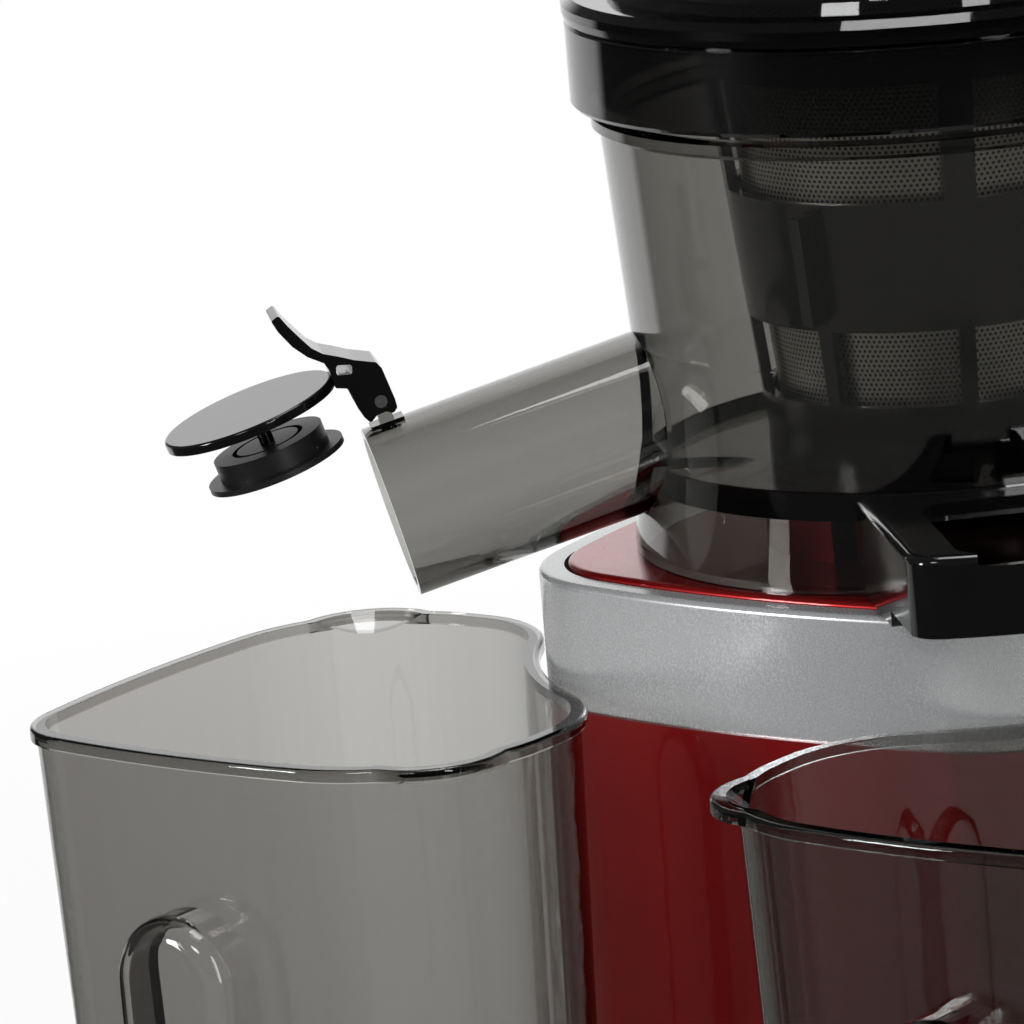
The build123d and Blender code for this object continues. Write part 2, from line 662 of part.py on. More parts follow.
def rocker_switch():
    """Three-way rocker: centre off, top and bottom pressed for the two directions."""
    pivot = BASE_HALF - ROCKER_PIVOT_IN
    reach = SWITCH_H / 2 - BEZEL_WALL - ROCKER_GAP
    lower = [(-4, -reach + 3), (6.2, -reach), (7.4, -reach + 1.0)]
    upper = [(x, -z) for x, z in reversed(lower)]
    half = SWITCH_W / 2 - BEZEL_WALL - SLACK
    side = Plane(origin=(-half, pivot, SWITCH_Z), x_dir=(0, 1, 0), z_dir=(1, 0, 0))
    body = extrude(side * make_face(Polyline(lower + [(5.2, 0)] + upper, close=True)), 2 * half)
    return body - Pos(0, pivot, SWITCH_Z) * Rot(0, 90, 0) * Cylinder(ROCKER_PIN_R + FIT, SWITCH_W)


def control_board():
    """Board upright behind the front wall, on two brackets that reach the shell."""
    front = -BASE_HALF + BOARD_IN
    back = front + BOARD_T
    low = BOARD_TOP - BOARD_H
    board = block(-BOARD_W / 2, BOARD_W / 2, front, back, low, BOARD_TOP)
    board += block(-BOARD_W / 2 + 4, -4, back, back + CHIP_T, low + 6, low + 20)
    board += Pos(BOARD_W / 4, back, low + 12) * Rot(-90, 0, 0) * Cylinder(6, CHIP_T, align=FLOOR)
    inside = slab(base_outline(SHELL_WALL), low, BOARD_TOP)
    for x in (-BRACKET_AT, BRACKET_AT):
        bracket = block(x - 2, x + 2, -BASE_HALF, front, BOARD_TOP - 10, BOARD_TOP - 4)
        board += bracket & inside
    return board


def run_capacitor():
    """Stands on the bottom cover beside the front wall."""
    can = Pos(0, 0, COVER_TOP) * Cylinder(CAPACITOR_R, CAPACITOR_H, align=FLOOR)
    can = fillet(can.edges().group_by(Axis.Z)[-1], 1.5)
    return Pos(0, -BASE_HALF + SHELL_WALL + CAPACITOR_R + 1.5, 0) * can


# ---------------------------------------------------------------- bowl
def bowl_inside(top):
    """Radius and height of the bowl's inner side, from its top edge down to the floor."""
    side = [(CAVITY_R, top), (CAVITY_R, BEAD_Z - BEAD_HALF), (CAVITY_WAIST_R, WAIST_TOP)]
    side.append((CAVITY_WAIST_R, BOWL_FLOOR_TOP + FLOOR_CHAMFER))
    return side + [(CAVITY_WAIST_R - FLOOR_CHAMFER, BOWL_FLOOR_TOP)]


def kidney(inner, outer, half_turn, low, high):
    """A bent slot about the axis, over the pulp chute's direction."""
    reach = outer * 1.6
    edge = (reach * cos(radians(half_turn)), reach * sin(radians(half_turn)))
    wedge = make_face(Polyline([(0, 0), (edge[0], -edge[1]), edge], close=True))
    arc = (Circle(outer) - Circle(inner)) & wedge
    return Rot(0, 0, CHUTE_TURN) * slab(arc, low, high)


def spout_frame():
    """Location of the mouth: x out along the tube, z up across the mouth."""
    mouth = Pos(MOUTH_T, 0, DECK_Z + MOUTH_Z) * Rot(0, SPOUT_FALL, 0)
    return Rot(0, 0, SPOUT_TURN) * mouth


def spout_drum(radius, start, end):
    """A cylinder on the spout's axis, from start to end measured out from the mouth."""
    return spout_frame() * Pos(start, 0, 0) * Rot(0, 90, 0) * Cylinder(radius, end - start, align=FLOOR)


def duct_block(start, reach, inset, low, high):
    """A block along the chute's direction, as wide as the duct under the bowl's floor."""
    side = CHUTE_HALF - CHUTE_WALL - inset
    return Rot(0, 0, CHUTE_TURN) * block(start, reach, -side, side, low, high)


def bowl_shell():
    """Skirt, side, bead and floor."""
    skirt = [(CAVITY_WAIST_R, FLOOR_Z), (SKIRT_R - BOWL_WALL, 0), (SKIRT_R, 0), (SKIRT_R, SKIRT_EDGE)]
    side = [(WAIST_R, SKIRT_TOP), (WAIST_R, WAIST_TOP), (BOWL_R, BEAD_Z - BEAD_HALF), (BEAD_R, BEAD_Z - 1)]
    rim = [(BEAD_R, BEAD_Z + 1), (BOWL_R, BEAD_Z + BEAD_HALF), (BOWL_R, BOWL_TOP)]
    return turned(skirt + side + rim + bowl_inside(BOWL_TOP) + [(0, BOWL_FLOOR_TOP), (0, FLOOR_Z)])


def juice_bowl():
    body = bowl_shell() + duct_block(DUCT_START, DUCT_REACH, 0, DUCT_LOW, DUCT_TOP)
    body = above_deck(body) + spout_drum(SPOUT_R, -SPOUT_LENGTH, 0)
    cavity = turned(bowl_inside(BOWL_TOP + 1) + [(0, BOWL_FLOOR_TOP), (0, BOWL_TOP + 1)])
    passage = duct_block(DUCT_START + DUCT_WALL, DUCT_REACH + 1, DUCT_WALL, DUCT_LOW + DUCT_WALL, FLOOR_Z)
    body -= above_deck(cavity + passage)
    body -= spout_drum(SPOUT_R - SPOUT_WALL, -SPOUT_LENGTH, 1)
    side = KIDNEY_WALL + SEAL_T
    turn = KIDNEY_HALF + 2 * KIDNEY_TURN
    body -= above_deck(kidney(KIDNEY_IN - side, KIDNEY_OUT + side, turn, FLOOR_Z - 0.5, BOWL_FLOOR_TOP + 1))
    body += above_deck(drum(BOWL_HUB_R, FLOOR_Z, BOWL_HUB_TOP))
    body -= above_deck(drum(BOWL_HUB_BORE, 0, BOWL_HUB_TOP + 1))
    pin = drum(IDLER_PIN_R, FLOOR_Z + 1, GEAR_TOP + 1, IDLER_AT, 0)
    return body + above_deck(Rot(0, 0, CHUTE_TURN - 180) * pin) + hinge_post()


def hinge_post():
    """Upright post on the spout, behind the mouth, that carries the cap's pin."""
    width = LEVER_W - 2 * EAR_W - 2 * SLACK
    foot = SPOUT_R - 1
    post = Pos(-PIN_BACK, 0, foot) * Box(POST_T, width, PIN_UP - foot, align=FLOOR)
    eye = Pos(-PIN_BACK, 0, PIN_UP) * Rot(90, 0, 0) * Cylinder(PIN_R + 1.2, width)
    pad = Pos(-PIN_BACK, 0, foot) * Box(PAD_L, width, PAD_T, align=FLOOR)
    hole = Pos(-PIN_BACK, 0, PIN_UP) * Rot(90, 0, 0) * Cylinder(PIN_R + FIT, width + 2)
    return spout_frame() * (post + eye + pad - hole)


def hub_seal():
    low, high = FLOOR_Z + 1, FLOOR_Z + 10
    inner, outer = SHAFT_R + 0.4, SHAFT_R + 0.9
    outside = [(outer, low), (BOWL_HUB_BORE, low), (BOWL_HUB_BORE, high), (outer, high)]
    return above_deck(turned(outside + [(inner, high - 2), (inner, low + 2)]))


def pulp_seal():
    inner, outer = KIDNEY_IN - KIDNEY_WALL, KIDNEY_OUT + KIDNEY_WALL
    turn = KIDNEY_HALF + KIDNEY_TURN
    gasket = kidney(inner - SEAL_T, outer + SEAL_T, turn + KIDNEY_TURN, FLOOR_Z, BOWL_FLOOR_TOP)
    return above_deck(gasket - kidney(inner, outer, turn, FLOOR_Z - 1, BOWL_FLOOR_TOP + 1))


def chute_outline(inset=0.0):
    """Plan of the chute along +X: straight sides, round corners, bowed front."""
    box = Pos(CHUTE_REACH / 2, 0) * Rectangle(CHUTE_REACH, 2 * (CHUTE_HALF - inset))
    front = Pos(CHUTE_REACH - CHUTE_BOW, 0) * Circle(CHUTE_BOW - inset)
    shape = box & front
    corners = shape.vertices().group_by(Axis.X)[-1]
    return fillet(corners, CHUTE_CORNER - inset)


def chute_hood():
    """The hood along +X: box, open underside over the container and open top."""
    low, drop = DUCT_LOW - 0.3, SKIRT_R + DROP_OUT
    body = slab(chute_outline(), low, CHUTE_TOP)
    body = fillet(body.edges().group_by(Axis.Z)[-1].filter_by(lambda e: e.center().X > 1), CHUTE_EDGE)
    body -= slab(chute_outline(CHUTE_WALL), low + DUCT_WALL, CHUTE_TOP - CHUTE_ROOF)
    past_drop = Pos(drop + CHUTE_REACH / 2, 0) * Rectangle(CHUTE_REACH, 3 * CHUTE_HALF)
    body -= slab(chute_outline(CHUTE_WALL) & past_drop, low - 1, low + DUCT_WALL + 1)
    body -= block(drop - 2, CHUTE_REACH + 5, -CHUTE_HALF - 1, CHUTE_HALF + 1, low - 1, CHUTE_LOW)
    near, far = SKIRT_R + SCOOP_OUT, CHUTE_REACH - CHUTE_WALL
    opening = Pos((near + far) / 2, 0) * RectangleRounded(far - near, 2 * SCOOP_HALF, SCOOP_CORNER)
    body -= slab(opening, CHUTE_TOP - CHUTE_ROOF - 1, CHUTE_TOP + 1)
    notch = SCOOP_HALF - SCOOP_CORNER / 2
    return body - block(far - 5, CHUTE_REACH + 1, -notch, notch, CHUTE_TOP - LIP_NOTCH, CHUTE_TOP + 1)


def pulp_chute():
    bowl = [(0, -1), (SKIRT_R, -1), (SKIRT_R, SKIRT_EDGE), (WAIST_R, SKIRT_TOP), (WAIST_R, 25), (0, 25)]
    body = Rot(0, 0, CHUTE_TURN) * chute_hood() - turned(bowl)
    return above_deck(body - duct_block(0, DUCT_REACH, 0, DUCT_LOW, DUCT_TOP))


# ---------------------------------------------------------------- smart cap
# The cap's own frame sits on the pin: x along the plate away from the hinge, z off the plate's face.
# Closed, x runs down across the mouth and z straight out of it.
def cap_frame():
    pin = Pos(-PIN_BACK, 0, PIN_UP)
    return spout_frame() * pin * Rot(0, 90 - CAP_OPEN, 0)


def cap_disc(radius, low, high, past_middle):
    """A disc parallel to the plate, its middle a little past the mouth's middle."""
    return Pos(PIN_UP + past_middle, 0, low) * Cylinder(radius, high - low, align=FLOOR)


CAP_FACE = PIN_BACK + PLATE_OFF
PLUG_FACE = CAP_FACE + PLATE_T / 2 - PLUG_REACH


def lever_outline():
    """Side of the lever: thumb tab, saddle, heel, notch for the post, claw and nose."""
    thumb_tab = [(13.7, 21.2), (14.2, 23.8), (12.4, 24.3), (11.4, 21.4), (10.1, 18.4), (8.8, 15.6)]
    saddle = [(7.1, 13.6), (4.5, 11.9), (1.7, 9.9), (-2.1, 7.8)]
    heel = [(-2.7, 6.2), (-2.8, -0.6), (-2.6, -2.4), (-1.5, -3.2)]
    notch_and_claw = [(-0.2, -2.3), (1.8, -2.3), (3.5, -3.3), (4.3, -1.7), (4.8, 0.6), (5.2, CAP_FACE - 1)]
    nose = [(7.4, CAP_FACE), (7.2, 9.9), (7.6, 11.7), (10.2, 14.2), (12.2, 17.3)]
    outline = Polyline(thumb_tab + saddle + heel + notch_and_claw + nose, close=True)
    side = fillet(make_face(outline).vertices(), 0.5)
    return side - Pos(4.4, 8.9) * Rot(0, 0, 20) * RectangleRounded(3.2, 2.0, 0.6)


def smart_cap():
    """One moulding: lever, round plate and the stem that holds the plug."""
    side = Plane(origin=(0, LEVER_W / 2, 0), x_dir=(1, 0, 0), z_dir=(0, -1, 0))
    lever = extrude(side * lever_outline(), LEVER_W)
    slot = LEVER_W / 2 - EAR_W
    reach = PIN_UP - SPOUT_R + 0.5
    lever -= Rot(90, 0, 0) * Cylinder(reach, 2 * slot)
    lever -= Rot(90, 0, 0) * Cylinder(PIN_R, LEVER_W + 2)
    plate = cap_disc(PLATE_R, CAP_FACE, CAP_FACE + PLATE_T, PLATE_LOW)
    plate = fillet(plate.edges().group_by(Axis.Z)[-1], 0.6)
    stem = cap_disc(STEM_R, PLUG_FACE + PLUG_RING_T - 3, CAP_FACE, PLUG_LOW)
    return cap_frame() * (lever + plate + stem)


def cap_plug():
    top = PLUG_FACE + PLUG_RING_T
    body = cap_disc(PLUG_R, PLUG_FACE, PLUG_FACE + PLUG_LIP_T, PLUG_LOW)
    body += cap_disc(PLUG_RING_R, PLUG_FACE, top, PLUG_LOW)
    body -= cap_disc(7.6, top - 1.6, top, PLUG_LOW) - cap_disc(6.6, top - 1.6, top, PLUG_LOW)
    return cap_frame() * (body - cap_disc(STEM_R, top - 3, top, PLUG_LOW))


def cap_pin():
    return cap_frame() * Rot(90, 0, 0) * Cylinder(PIN_R, LEVER_W)


# ---------------------------------------------------------------- strainer, cage and auger
def cone_r(z, extra=0.0):
    return CONE_R + CONE_RISE * (z - CONE_Z) + extra


def cone_ring(low, high, inner_extra, outer_extra):
    return turned([(cone_r(low, inner_extra), low), (cone_r(low, outer_extra), low),
                   (cone_r(high, outer_extra), high), (cone_r(high, inner_extra), high)])


def spokes(count, width, low, high, start=0.0):
    arms = []
    for n in range(count):
        arms.append(Rot(0, 0, start + n * 360 / count) * block(5, 60, -width / 2, width / 2, low, high))
    return arms


def strainer_frame():
    inner, outer = -STRAINER_T, -MESH_T
    body = cone_ring(STRAINER_FLOOR, STRAINER_TOP, inner, outer)
    for low, high in (LOW_WINDOW, HIGH_WINDOW):
        window = cone_ring(low, high, inner - 3, 3)
        for arm in spokes(12, 2.0, low - 1, high + 1, 15):
            window -= arm
        body -= window
    body += cone_ring(STRAINER_TOP - 3, STRAINER_TOP, inner, 0.8)
    near, far = KIDNEY_IN - KIDNEY_WALL, KIDNEY_OUT + KIDNEY_WALL
    body += ring(cone_r(STRAINER_FLOOR, outer), near - 0.6, STRAINER_FLOOR, STRAINER_FLOOR + 2.2)
    body += kidney(near, far, KIDNEY_HALF + KIDNEY_TURN, FLOOR_Z, STRAINER_FLOOR)
    return above_deck(body - kidney(KIDNEY_IN, KIDNEY_OUT, KIDNEY_HALF, FLOOR_Z - 1, STRAINER_FLOOR + 3))


def strainer_mesh():
    return above_deck(cone_ring(STRAINER_FLOOR + 2, STRAINER_TOP - 3, -MESH_T, 0))


def brush_cage():
    inner, outer = CAGE_GAP, CAGE_GAP + CAGE_T
    body = cone_ring(BAND_LOW, BAND_HIGH, inner, outer)
    body += cone_ring(CAGE_TOP - 5, CAGE_TOP, inner, outer)
    foot_top = LOW_WINDOW[0]
    body += cone_ring(GEAR_TOP, foot_top, inner, outer)
    wide = cone_ring(BAND_HIGH - 1, CAGE_TOP - 4, inner, outer)
    thin = cone_ring(foot_top - 1, BAND_LOW + 1, inner, outer)
    for arm in spokes(ARM_HIGH_COUNT, ARM_HIGH_W, BAND_LOW, CAGE_TOP, CAGE_TURN):
        body += wide & arm
    for arm in spokes(ARM_LOW_COUNT, ARM_LOW_W, CAGE_LOW, BAND_HIGH, CAGE_TURN):
        body += thin & arm
    rim = drum(cone_r(CAGE_LOW, outer) + 0.8, CAGE_LOW, GEAR_TOP)
    teeth = slab(tooth_ring(CAGE_TEETH, GEAR_MODULE, True), CAGE_LOW, GEAR_TOP)
    return above_deck(body + rim - Rot(0, 0, CHUTE_TURN - 180) * teeth)


def wiper_blades():
    """Silicone blades on the cage's band, standing out towards the bowl."""
    blades = []
    low, high = BAND_LOW + 2, BAND_HIGH - 2
    surface = CAGE_GAP + CAGE_T
    shell = cone_ring(low, high, surface, surface + WIPER_REACH)
    for arm in spokes(ARM_HIGH_COUNT, WIPER_T, low, high, CAGE_TURN + 45):
        blades.append(above_deck(shell & arm))
    return blades


def idler_gear():
    gear = spur(IDLER_TEETH, GEAR_MODULE, CAGE_LOW, GEAR_TOP, 180.0 / IDLER_TEETH, IDLER_AT, 0)
    gear -= drum(IDLER_PIN_R + FIT, CAGE_LOW, GEAR_TOP, IDLER_AT, 0)
    return above_deck(Rot(0, 0, CHUTE_TURN - 180) * gear)


def auger_flights():
    """Twisted flights, trimmed to the strainer's cone and drawn in towards the top."""
    reach = AUGER_SCREW_TOP - AUGER_SCREW_LOW
    plan = Circle(AUGER_TIP_R)
    for n in range(FLIGHT_COUNT):
        plan += Rot(0, 0, n * 360 / FLIGHT_COUNT) * (Pos(20, 0) * Rectangle(40, FLIGHT_W))
    screw = Solid.extrude_linear_with_rotation(plan.face(), (0, 0, AUGER_SCREW_LOW), (0, 0, reach), -TWIST)
    inset = -STRAINER_T - AUGER_GAP
    side = [(cone_r(z, inset), z) for z in (AUGER_SCREW_LOW, FLIGHT_FULL)]
    top = [(FLIGHT_END_R, AUGER_SCREW_TOP), (0, AUGER_SCREW_TOP)]
    return screw & turned([(0, AUGER_SCREW_LOW)] + side + top)


def auger():
    """Screw on a neck that passes inside the idler's teeth, with its own gear at the foot."""
    neck = GEAR_MODULE * (AUGER_TEETH / 2 - 1.25) - 0.3
    wide = AUGER_CORE_R + 1.5
    foot = [(0, AUGER_LOW), (neck, AUGER_LOW), (neck, GEAR_TOP + 0.6), (wide, GEAR_TOP + 2.5)]
    core = [(wide, AUGER_SCREW_LOW + 1), (AUGER_CORE_R, 44), (11, AUGER_SCREW_TOP), (AUGER_TIP_R, 96)]
    journal = [(AUGER_JOURNAL_R, 98), (AUGER_JOURNAL_R, AUGER_TOP), (0, AUGER_TOP)]
    body = auger_flights() + turned(foot + core + journal)
    teeth = slab(tooth_ring(AUGER_TEETH, GEAR_MODULE), AUGER_LOW, GEAR_TOP)
    body += Rot(0, 0, CHUTE_TURN - 180) * teeth
    body -= drum(BOWL_HUB_R + HUB_GAP, AUGER_LOW - 1, HEX_LOW + 0.6)
    return above_deck(body - drum(SOCKET_R, HEX_LOW, HEX_TOP + 2))


def auger_socket():
    sleeve = drum(SOCKET_R, HEX_LOW + 0.6, HEX_TOP + 2)
    return above_deck(sleeve - hexagon(HEX_AF + 2 * SOCKET_GAP, HEX_LOW - 1, HEX_TOP + 0.6))


# ---------------------------------------------------------------- lid, tray, pusher
def tube_outline(inset=0.0):
    slot = SlotOverall(TUBE_L - 2 * inset, TUBE_W - 2 * inset)
    return Pos(0, TUBE_BACK) * slot


def lid_shell():
    """Collar round the bowl's edge, flange and raised top, turned as one."""
    under, lip = COLLAR_R - COLLAR_WALL, COLLAR_R + 0.4
    seam = [(COLLAR_R, COLLAR_SEAM - 0.5), (COLLAR_R - 0.5, COLLAR_SEAM), (COLLAR_R, COLLAR_SEAM + 0.5)]
    collar = [(under, COLLAR_LOW), (COLLAR_R - 0.6, COLLAR_LOW), (COLLAR_R, COLLAR_LOW + 0.8)] + seam
    flange = [(lip, COLLAR_SEAM + 2), (lip, FLANGE_TOP - 1.6), (COLLAR_R - 1.2, FLANGE_TOP)]
    step = [(STEP_R + 1, FLANGE_TOP), (STEP_R, STEP_TOP - 1), (STEP_R - 1.2, STEP_TOP)]
    top = step + [(0, STEP_TOP), (0, STEP_LOW)]
    inside = [(STEP_R - 4, STEP_LOW), (STEP_R - 3.6, BOWL_TOP + 4), (STEP_R - 0.5, BOWL_TOP + 4)]
    return turned(collar + flange + top + inside + [(STEP_R - 0.5, BOWL_TOP), (under, BOWL_TOP)])


def lid():
    body = lid_shell() + slab(tube_outline(), STEP_TOP - 1, TUBE_TOP)
    body -= slab(tube_outline(TUBE_WALL), STEP_LOW - 1, TUBE_TOP + 1)
    bridge = block(-TUBE_L / 2, TUBE_L / 2, -LID_HUB_R, LID_HUB_R, STEP_LOW, STEP_TOP)
    body += bridge & slab(tube_outline(), STEP_LOW, STEP_TOP)
    return above_deck(body + ring(LID_HUB_R, AUGER_JOURNAL_R + 0.1, AUGER_TOP - 5, STEP_LOW))


def hopper_tray():
    """Tray that sits on the top edge of the feed tube, with a skirt down round the tube."""
    plan = Pos(0, TUBE_BACK - 8)
    inside_l, inside_w = TRAY_L - 2 * TRAY_WALL, TRAY_W - 2 * TRAY_WALL
    body = slab(plan * RectangleRounded(TRAY_L, TRAY_W, TRAY_CORNER), TUBE_TOP, TUBE_TOP + TRAY_H)
    body = fillet(body.edges().group_by(Axis.Z)[0], 4)
    body = fillet(body.edges().group_by(Axis.Z)[-1], TRAY_WALL / 3)
    inner = plan * RectangleRounded(inside_l, inside_w, TRAY_CORNER - TRAY_WALL)
    body -= slab(inner, TUBE_TOP + TRAY_WALL, TUBE_TOP + TRAY_H + 1)
    body -= slab(tube_outline(TUBE_WALL), TUBE_TOP - 1, TUBE_TOP + TRAY_WALL + 1)
    return above_deck(body + slab(tube_outline(-TRAY_WALL) - tube_outline(), TUBE_TOP - TRAY_SKIRT, TUBE_TOP))


def pusher():
    """Hollow plunger, open at the top, hung in the tube by a flange that rests on the tray's floor."""
    seat = TUBE_TOP + TRAY_WALL
    side = TUBE_WALL + PUSHER_GAP
    stem = slab(tube_outline(side), PUSHER_LOW, PUSHER_TOP - 1)
    stem = fillet(stem.edges().group_by(Axis.Z)[0], 3)
    flange = slab(tube_outline(-3), seat, seat + PUSHER_WALL)
    knob = slab(tube_outline(-1), PUSHER_TOP - KNOB_H, PUSHER_TOP)
    knob = fillet(knob.edges().group_by(Axis.Z)[-1], 2.5)
    knob = fillet(knob.edges().group_by(Axis.Z)[0], 2.0)
    hollow = slab(tube_outline(side + PUSHER_WALL), PUSHER_LOW + PUSHER_WALL, PUSHER_TOP + 1)
    return above_deck(stem + flange + knob - hollow)


# ---------------------------------------------------------------- cups
def cup_outline(inset=0.0):
    """Plan of a cup in the front left quarter: bowed outer sides and a scooped inner corner."""
    half = CUP_W / 2
    outer = Pos(CUP_BOW - half, 0) * Circle(CUP_BOW - inset)
    inner = Pos(-half, -half) * Rectangle(4 * half - 2 * inset, 4 * half - 2 * inset)
    square = Pos(-CUP_MIDDLE, -CUP_MIDDLE) * (inner & outer & (Rot(0, 0, 90) * outer))
    at = (CUP_SCOOP_AT - CUP_SCOOP_R) / sqrt(2)
    square -= Pos(-at, -at) * Circle(CUP_SCOOP_R + inset)
    tip = square.vertices().sort_by(lambda v: v.X + v.Y)[0:1]
    square = fillet(tip, CUP_TIP_R - inset)
    lips = square.vertices().sort_by(lambda v: -abs(v.X - v.Y))[0:2]
    square = fillet(lips, CUP_LIP_CORNER - inset)
    lobes = square.vertices().sort_by(lambda v: hypot(v.X, v.Y))[0:2]
    return fillet(lobes, CUP_LOBE_R - inset)


def lip_places():
    """Middles of the two round pour lips and the turn that keeps each circle's seam inside."""
    sag = CUP_BOW - sqrt(CUP_BOW ** 2 - (CUP_W / 2) ** 2)
    along = CUP_LIP_CORNER - (CUP_LIP_CORNER + LIP_PROUD - LIP_R) / sqrt(2)
    x, y = -CUP_FAR + sag + along, -CUP_NEAR - along
    return [(x, y, -45), (y, x, 135)]


def on_a_lip(vertex):
    near = min(hypot(vertex.X - x, vertex.Y - y) for x, y, turn in lip_places())
    return abs(near - LIP_R) < 0.01


def lip_cones(inset=0.0):
    radius = LIP_R - inset
    cone = Cone(radius - LIP_PROUD * LIP_SLOPE, radius, LIP_H, align=FLOOR)
    return [Pos(x, y, CUP_RIM - LIP_H) * Rot(0, 0, turn) * cone for x, y, turn in lip_places()]


def cup_body(inset, low, high):
    foot = Plane.XY.offset(low) * cup_outline(inset + CUP_DRAFT * (CUP_RIM - low) / CUP_RIM)
    rim = Plane.XY.offset(high) * cup_outline(inset + CUP_DRAFT * (CUP_RIM - high) / CUP_RIM)
    return loft([foot, rim], ruled=True)


def rim_outline(grow):
    """Plan of the rim: the cup's plan with both lips blended in, grown by an amount."""
    shape = cup_outline()
    for x, y, turn in lip_places():
        shape += Pos(x, y) * Rot(0, 0, turn) * Circle(LIP_R)
    return offset(fillet(shape.vertices().filter_by(on_a_lip), KINK_R), grow)


def grip(inset):
    """Hollow grip that stands out of the front wall, with a domed top."""
    height, width = GRIP_TOP - GRIP_LOW - 2 * inset, GRIP_W - 2 * inset
    shape = RectangleRounded(width, height, width / 2 - 0.2)
    shape = Pos(-CUP_MIDDLE - GRIP_ASIDE, (GRIP_TOP + GRIP_LOW) / 2) * shape
    front = Plane(origin=(0, -CUP_FAR - GRIP_OUT + inset, 0), x_dir=(1, 0, 0), z_dir=(0, -1, 0))
    body = extrude(front * shape, -(GRIP_OUT + 8))
    edge = body.edges().group_by(Axis.Y)[0]
    return fillet(edge, GRIP_EDGE - inset)


def cup():
    body = cup_body(0, 0, CUP_RIM)
    for cone in lip_cones():
        body += cone
    body += grip(0)
    cavity = cup_body(CUP_WALL, CUP_FLOOR, CUP_RIM)
    body -= cavity
    for cone in lip_cones(CUP_WALL):
        body -= cone
    body -= grip(CUP_WALL)
    rim = slab(rim_outline(RIM_PROUD), CUP_RIM - RIM_H, CUP_RIM)
    rim = fillet(rim.edges().group_by(Axis.Z)[-1], 0.9)
    rim -= slab(rim_outline(-CUP_WALL), CUP_RIM - RIM_H - 1, CUP_RIM + 1)
    return body + rim


# ---------------------------------------------------------------- write the parts
if __name__ == "__main__":
    NODES = {
        "base_shell": base_shell,
        "silver_band": silver_band,
        "deck_panel": deck_panel,
        "bottom_cover": bottom_cover,
        "rubber_feet": rubber_feet,
        "cover_screws": cover_screws,
        "motor_can": motor_can,
        "stator_core": stator_core,
        "stator_windings": stator_windings,
        "rotor_core": rotor_core,
        "rotor_shaft": rotor_shaft,
        "cooling_fan": cooling_fan,
        "motor_bearings": motor_bearings,
        "motor_pinion": motor_pinion,
        "layshaft_wheel": layshaft_wheel,
        "layshaft_pinion": layshaft_pinion,
        "layshaft_axle": layshaft_axle,
        "output_wheel": output_wheel,
        "drive_shaft": drive_shaft,
        "drive_bearings": drive_bearings,
        "gearbox_case": gearbox_case,
        "gearbox_lid": gearbox_lid,
        "gearbox_screws": gearbox_screws,
        "deck_seal": deck_seal,
        "cord_gland": cord_gland,
        "switch_bezel": switch_bezel,
        "rocker_switch": rocker_switch,
        "control_board": control_board,
        "run_capacitor": run_capacitor,
        "juice_bowl": juice_bowl,
        "hub_seal": hub_seal,
        "pulp_seal": pulp_seal,
        "pulp_chute": pulp_chute,
        "smart_cap": smart_cap,
        "cap_plug": cap_plug,
        "cap_pin": cap_pin,
        "strainer_frame": strainer_frame,
        "strainer_mesh": strainer_mesh,
        "brush_cage": brush_cage,
        "wiper_blades": wiper_blades,
        "idler_gear": idler_gear,
        "auger": auger,
        "auger_socket": auger_socket,
        "lid": lid,
        "hopper_tray": hopper_tray,
        "pusher": pusher,
        "juice_jug": cup,
        "pulp_container": lambda: mirror(cup(), about=Plane.YZ),
    }
    os.makedirs("parts", exist_ok=True)
    for name, make in NODES.items():
        made = make()
        if isinstance(made, list):
            made = Compound(made)
        export_step(Pos(0, AXIS_Y, 0) * made, f"parts/{name}.step")
        print(name, "written")
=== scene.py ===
# %% [markdown]
# # A vertical slow juicer, dressed for its portrait
# The drive unit, its clear bowl and the two cups arrive as finished solids. This lesson adds no shape to
# them. It gives each one the surface it has on a real machine, and then sets up the studio.
# Everything is in metres, and the table is at z = 0.

# %% Load the solids
import math
import bmesh
import bpy
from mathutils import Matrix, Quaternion, Vector


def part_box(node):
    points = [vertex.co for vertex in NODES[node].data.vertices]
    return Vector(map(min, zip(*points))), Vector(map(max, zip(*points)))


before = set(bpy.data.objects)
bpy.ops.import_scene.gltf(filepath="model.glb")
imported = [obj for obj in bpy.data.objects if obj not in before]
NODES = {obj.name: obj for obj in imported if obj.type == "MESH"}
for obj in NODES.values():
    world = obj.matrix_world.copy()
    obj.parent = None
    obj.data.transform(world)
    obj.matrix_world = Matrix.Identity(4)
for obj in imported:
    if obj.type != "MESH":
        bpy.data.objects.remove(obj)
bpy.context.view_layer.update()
MM = 0.001

# %% [markdown]
# ## A small kit for materials
# A material is a little network. One function adds a box of the network, with its settings and its wires,
# and one turns the colours that a painter would name, as hex, into the linear light that the shaders use.
# Two more only work out numbers: the scale of a pattern from its real size, and how far a roughness
# wanders about its middle, because no real surface is equally smooth all over.

# %% Colours and nodes
def linear(hex_colour):
    """sRGB hex to a linear colour with alpha."""
    values = [int(hex_colour[i:i + 2], 16) / 255 for i in (1, 3, 5)]
    return tuple(v / 12.92 if v <= 0.04045 else ((v + 0.055) / 1.055) ** 2.4 for v in values) + (1.0,)


def add(tree, kind, settings=None, **inputs):
    """One node: settings are its own switches. An input is a value, a socket, or a node, whose first
    output is then wired to it. An input that shares its name with another goes by its number, as _0."""
    made = tree.nodes.new(kind)
    for name, value in (settings or {}).items():
        setattr(made, name, value)
    for name, value in inputs.items():
        key = int(name[1:]) if name.startswith("_") else name.replace("_", " ")
        if isinstance(value, bpy.types.Node):
            value = value.outputs[0]
        if isinstance(value, bpy.types.NodeSocket):
            tree.links.new(value, made.inputs[key])
        else:
            made.inputs[key].default_value = value
    return made


def scale_of(size_mm):
    """The texture scale at which cells or blotches are about size_mm across."""
    return 1 / (size_mm * MM)


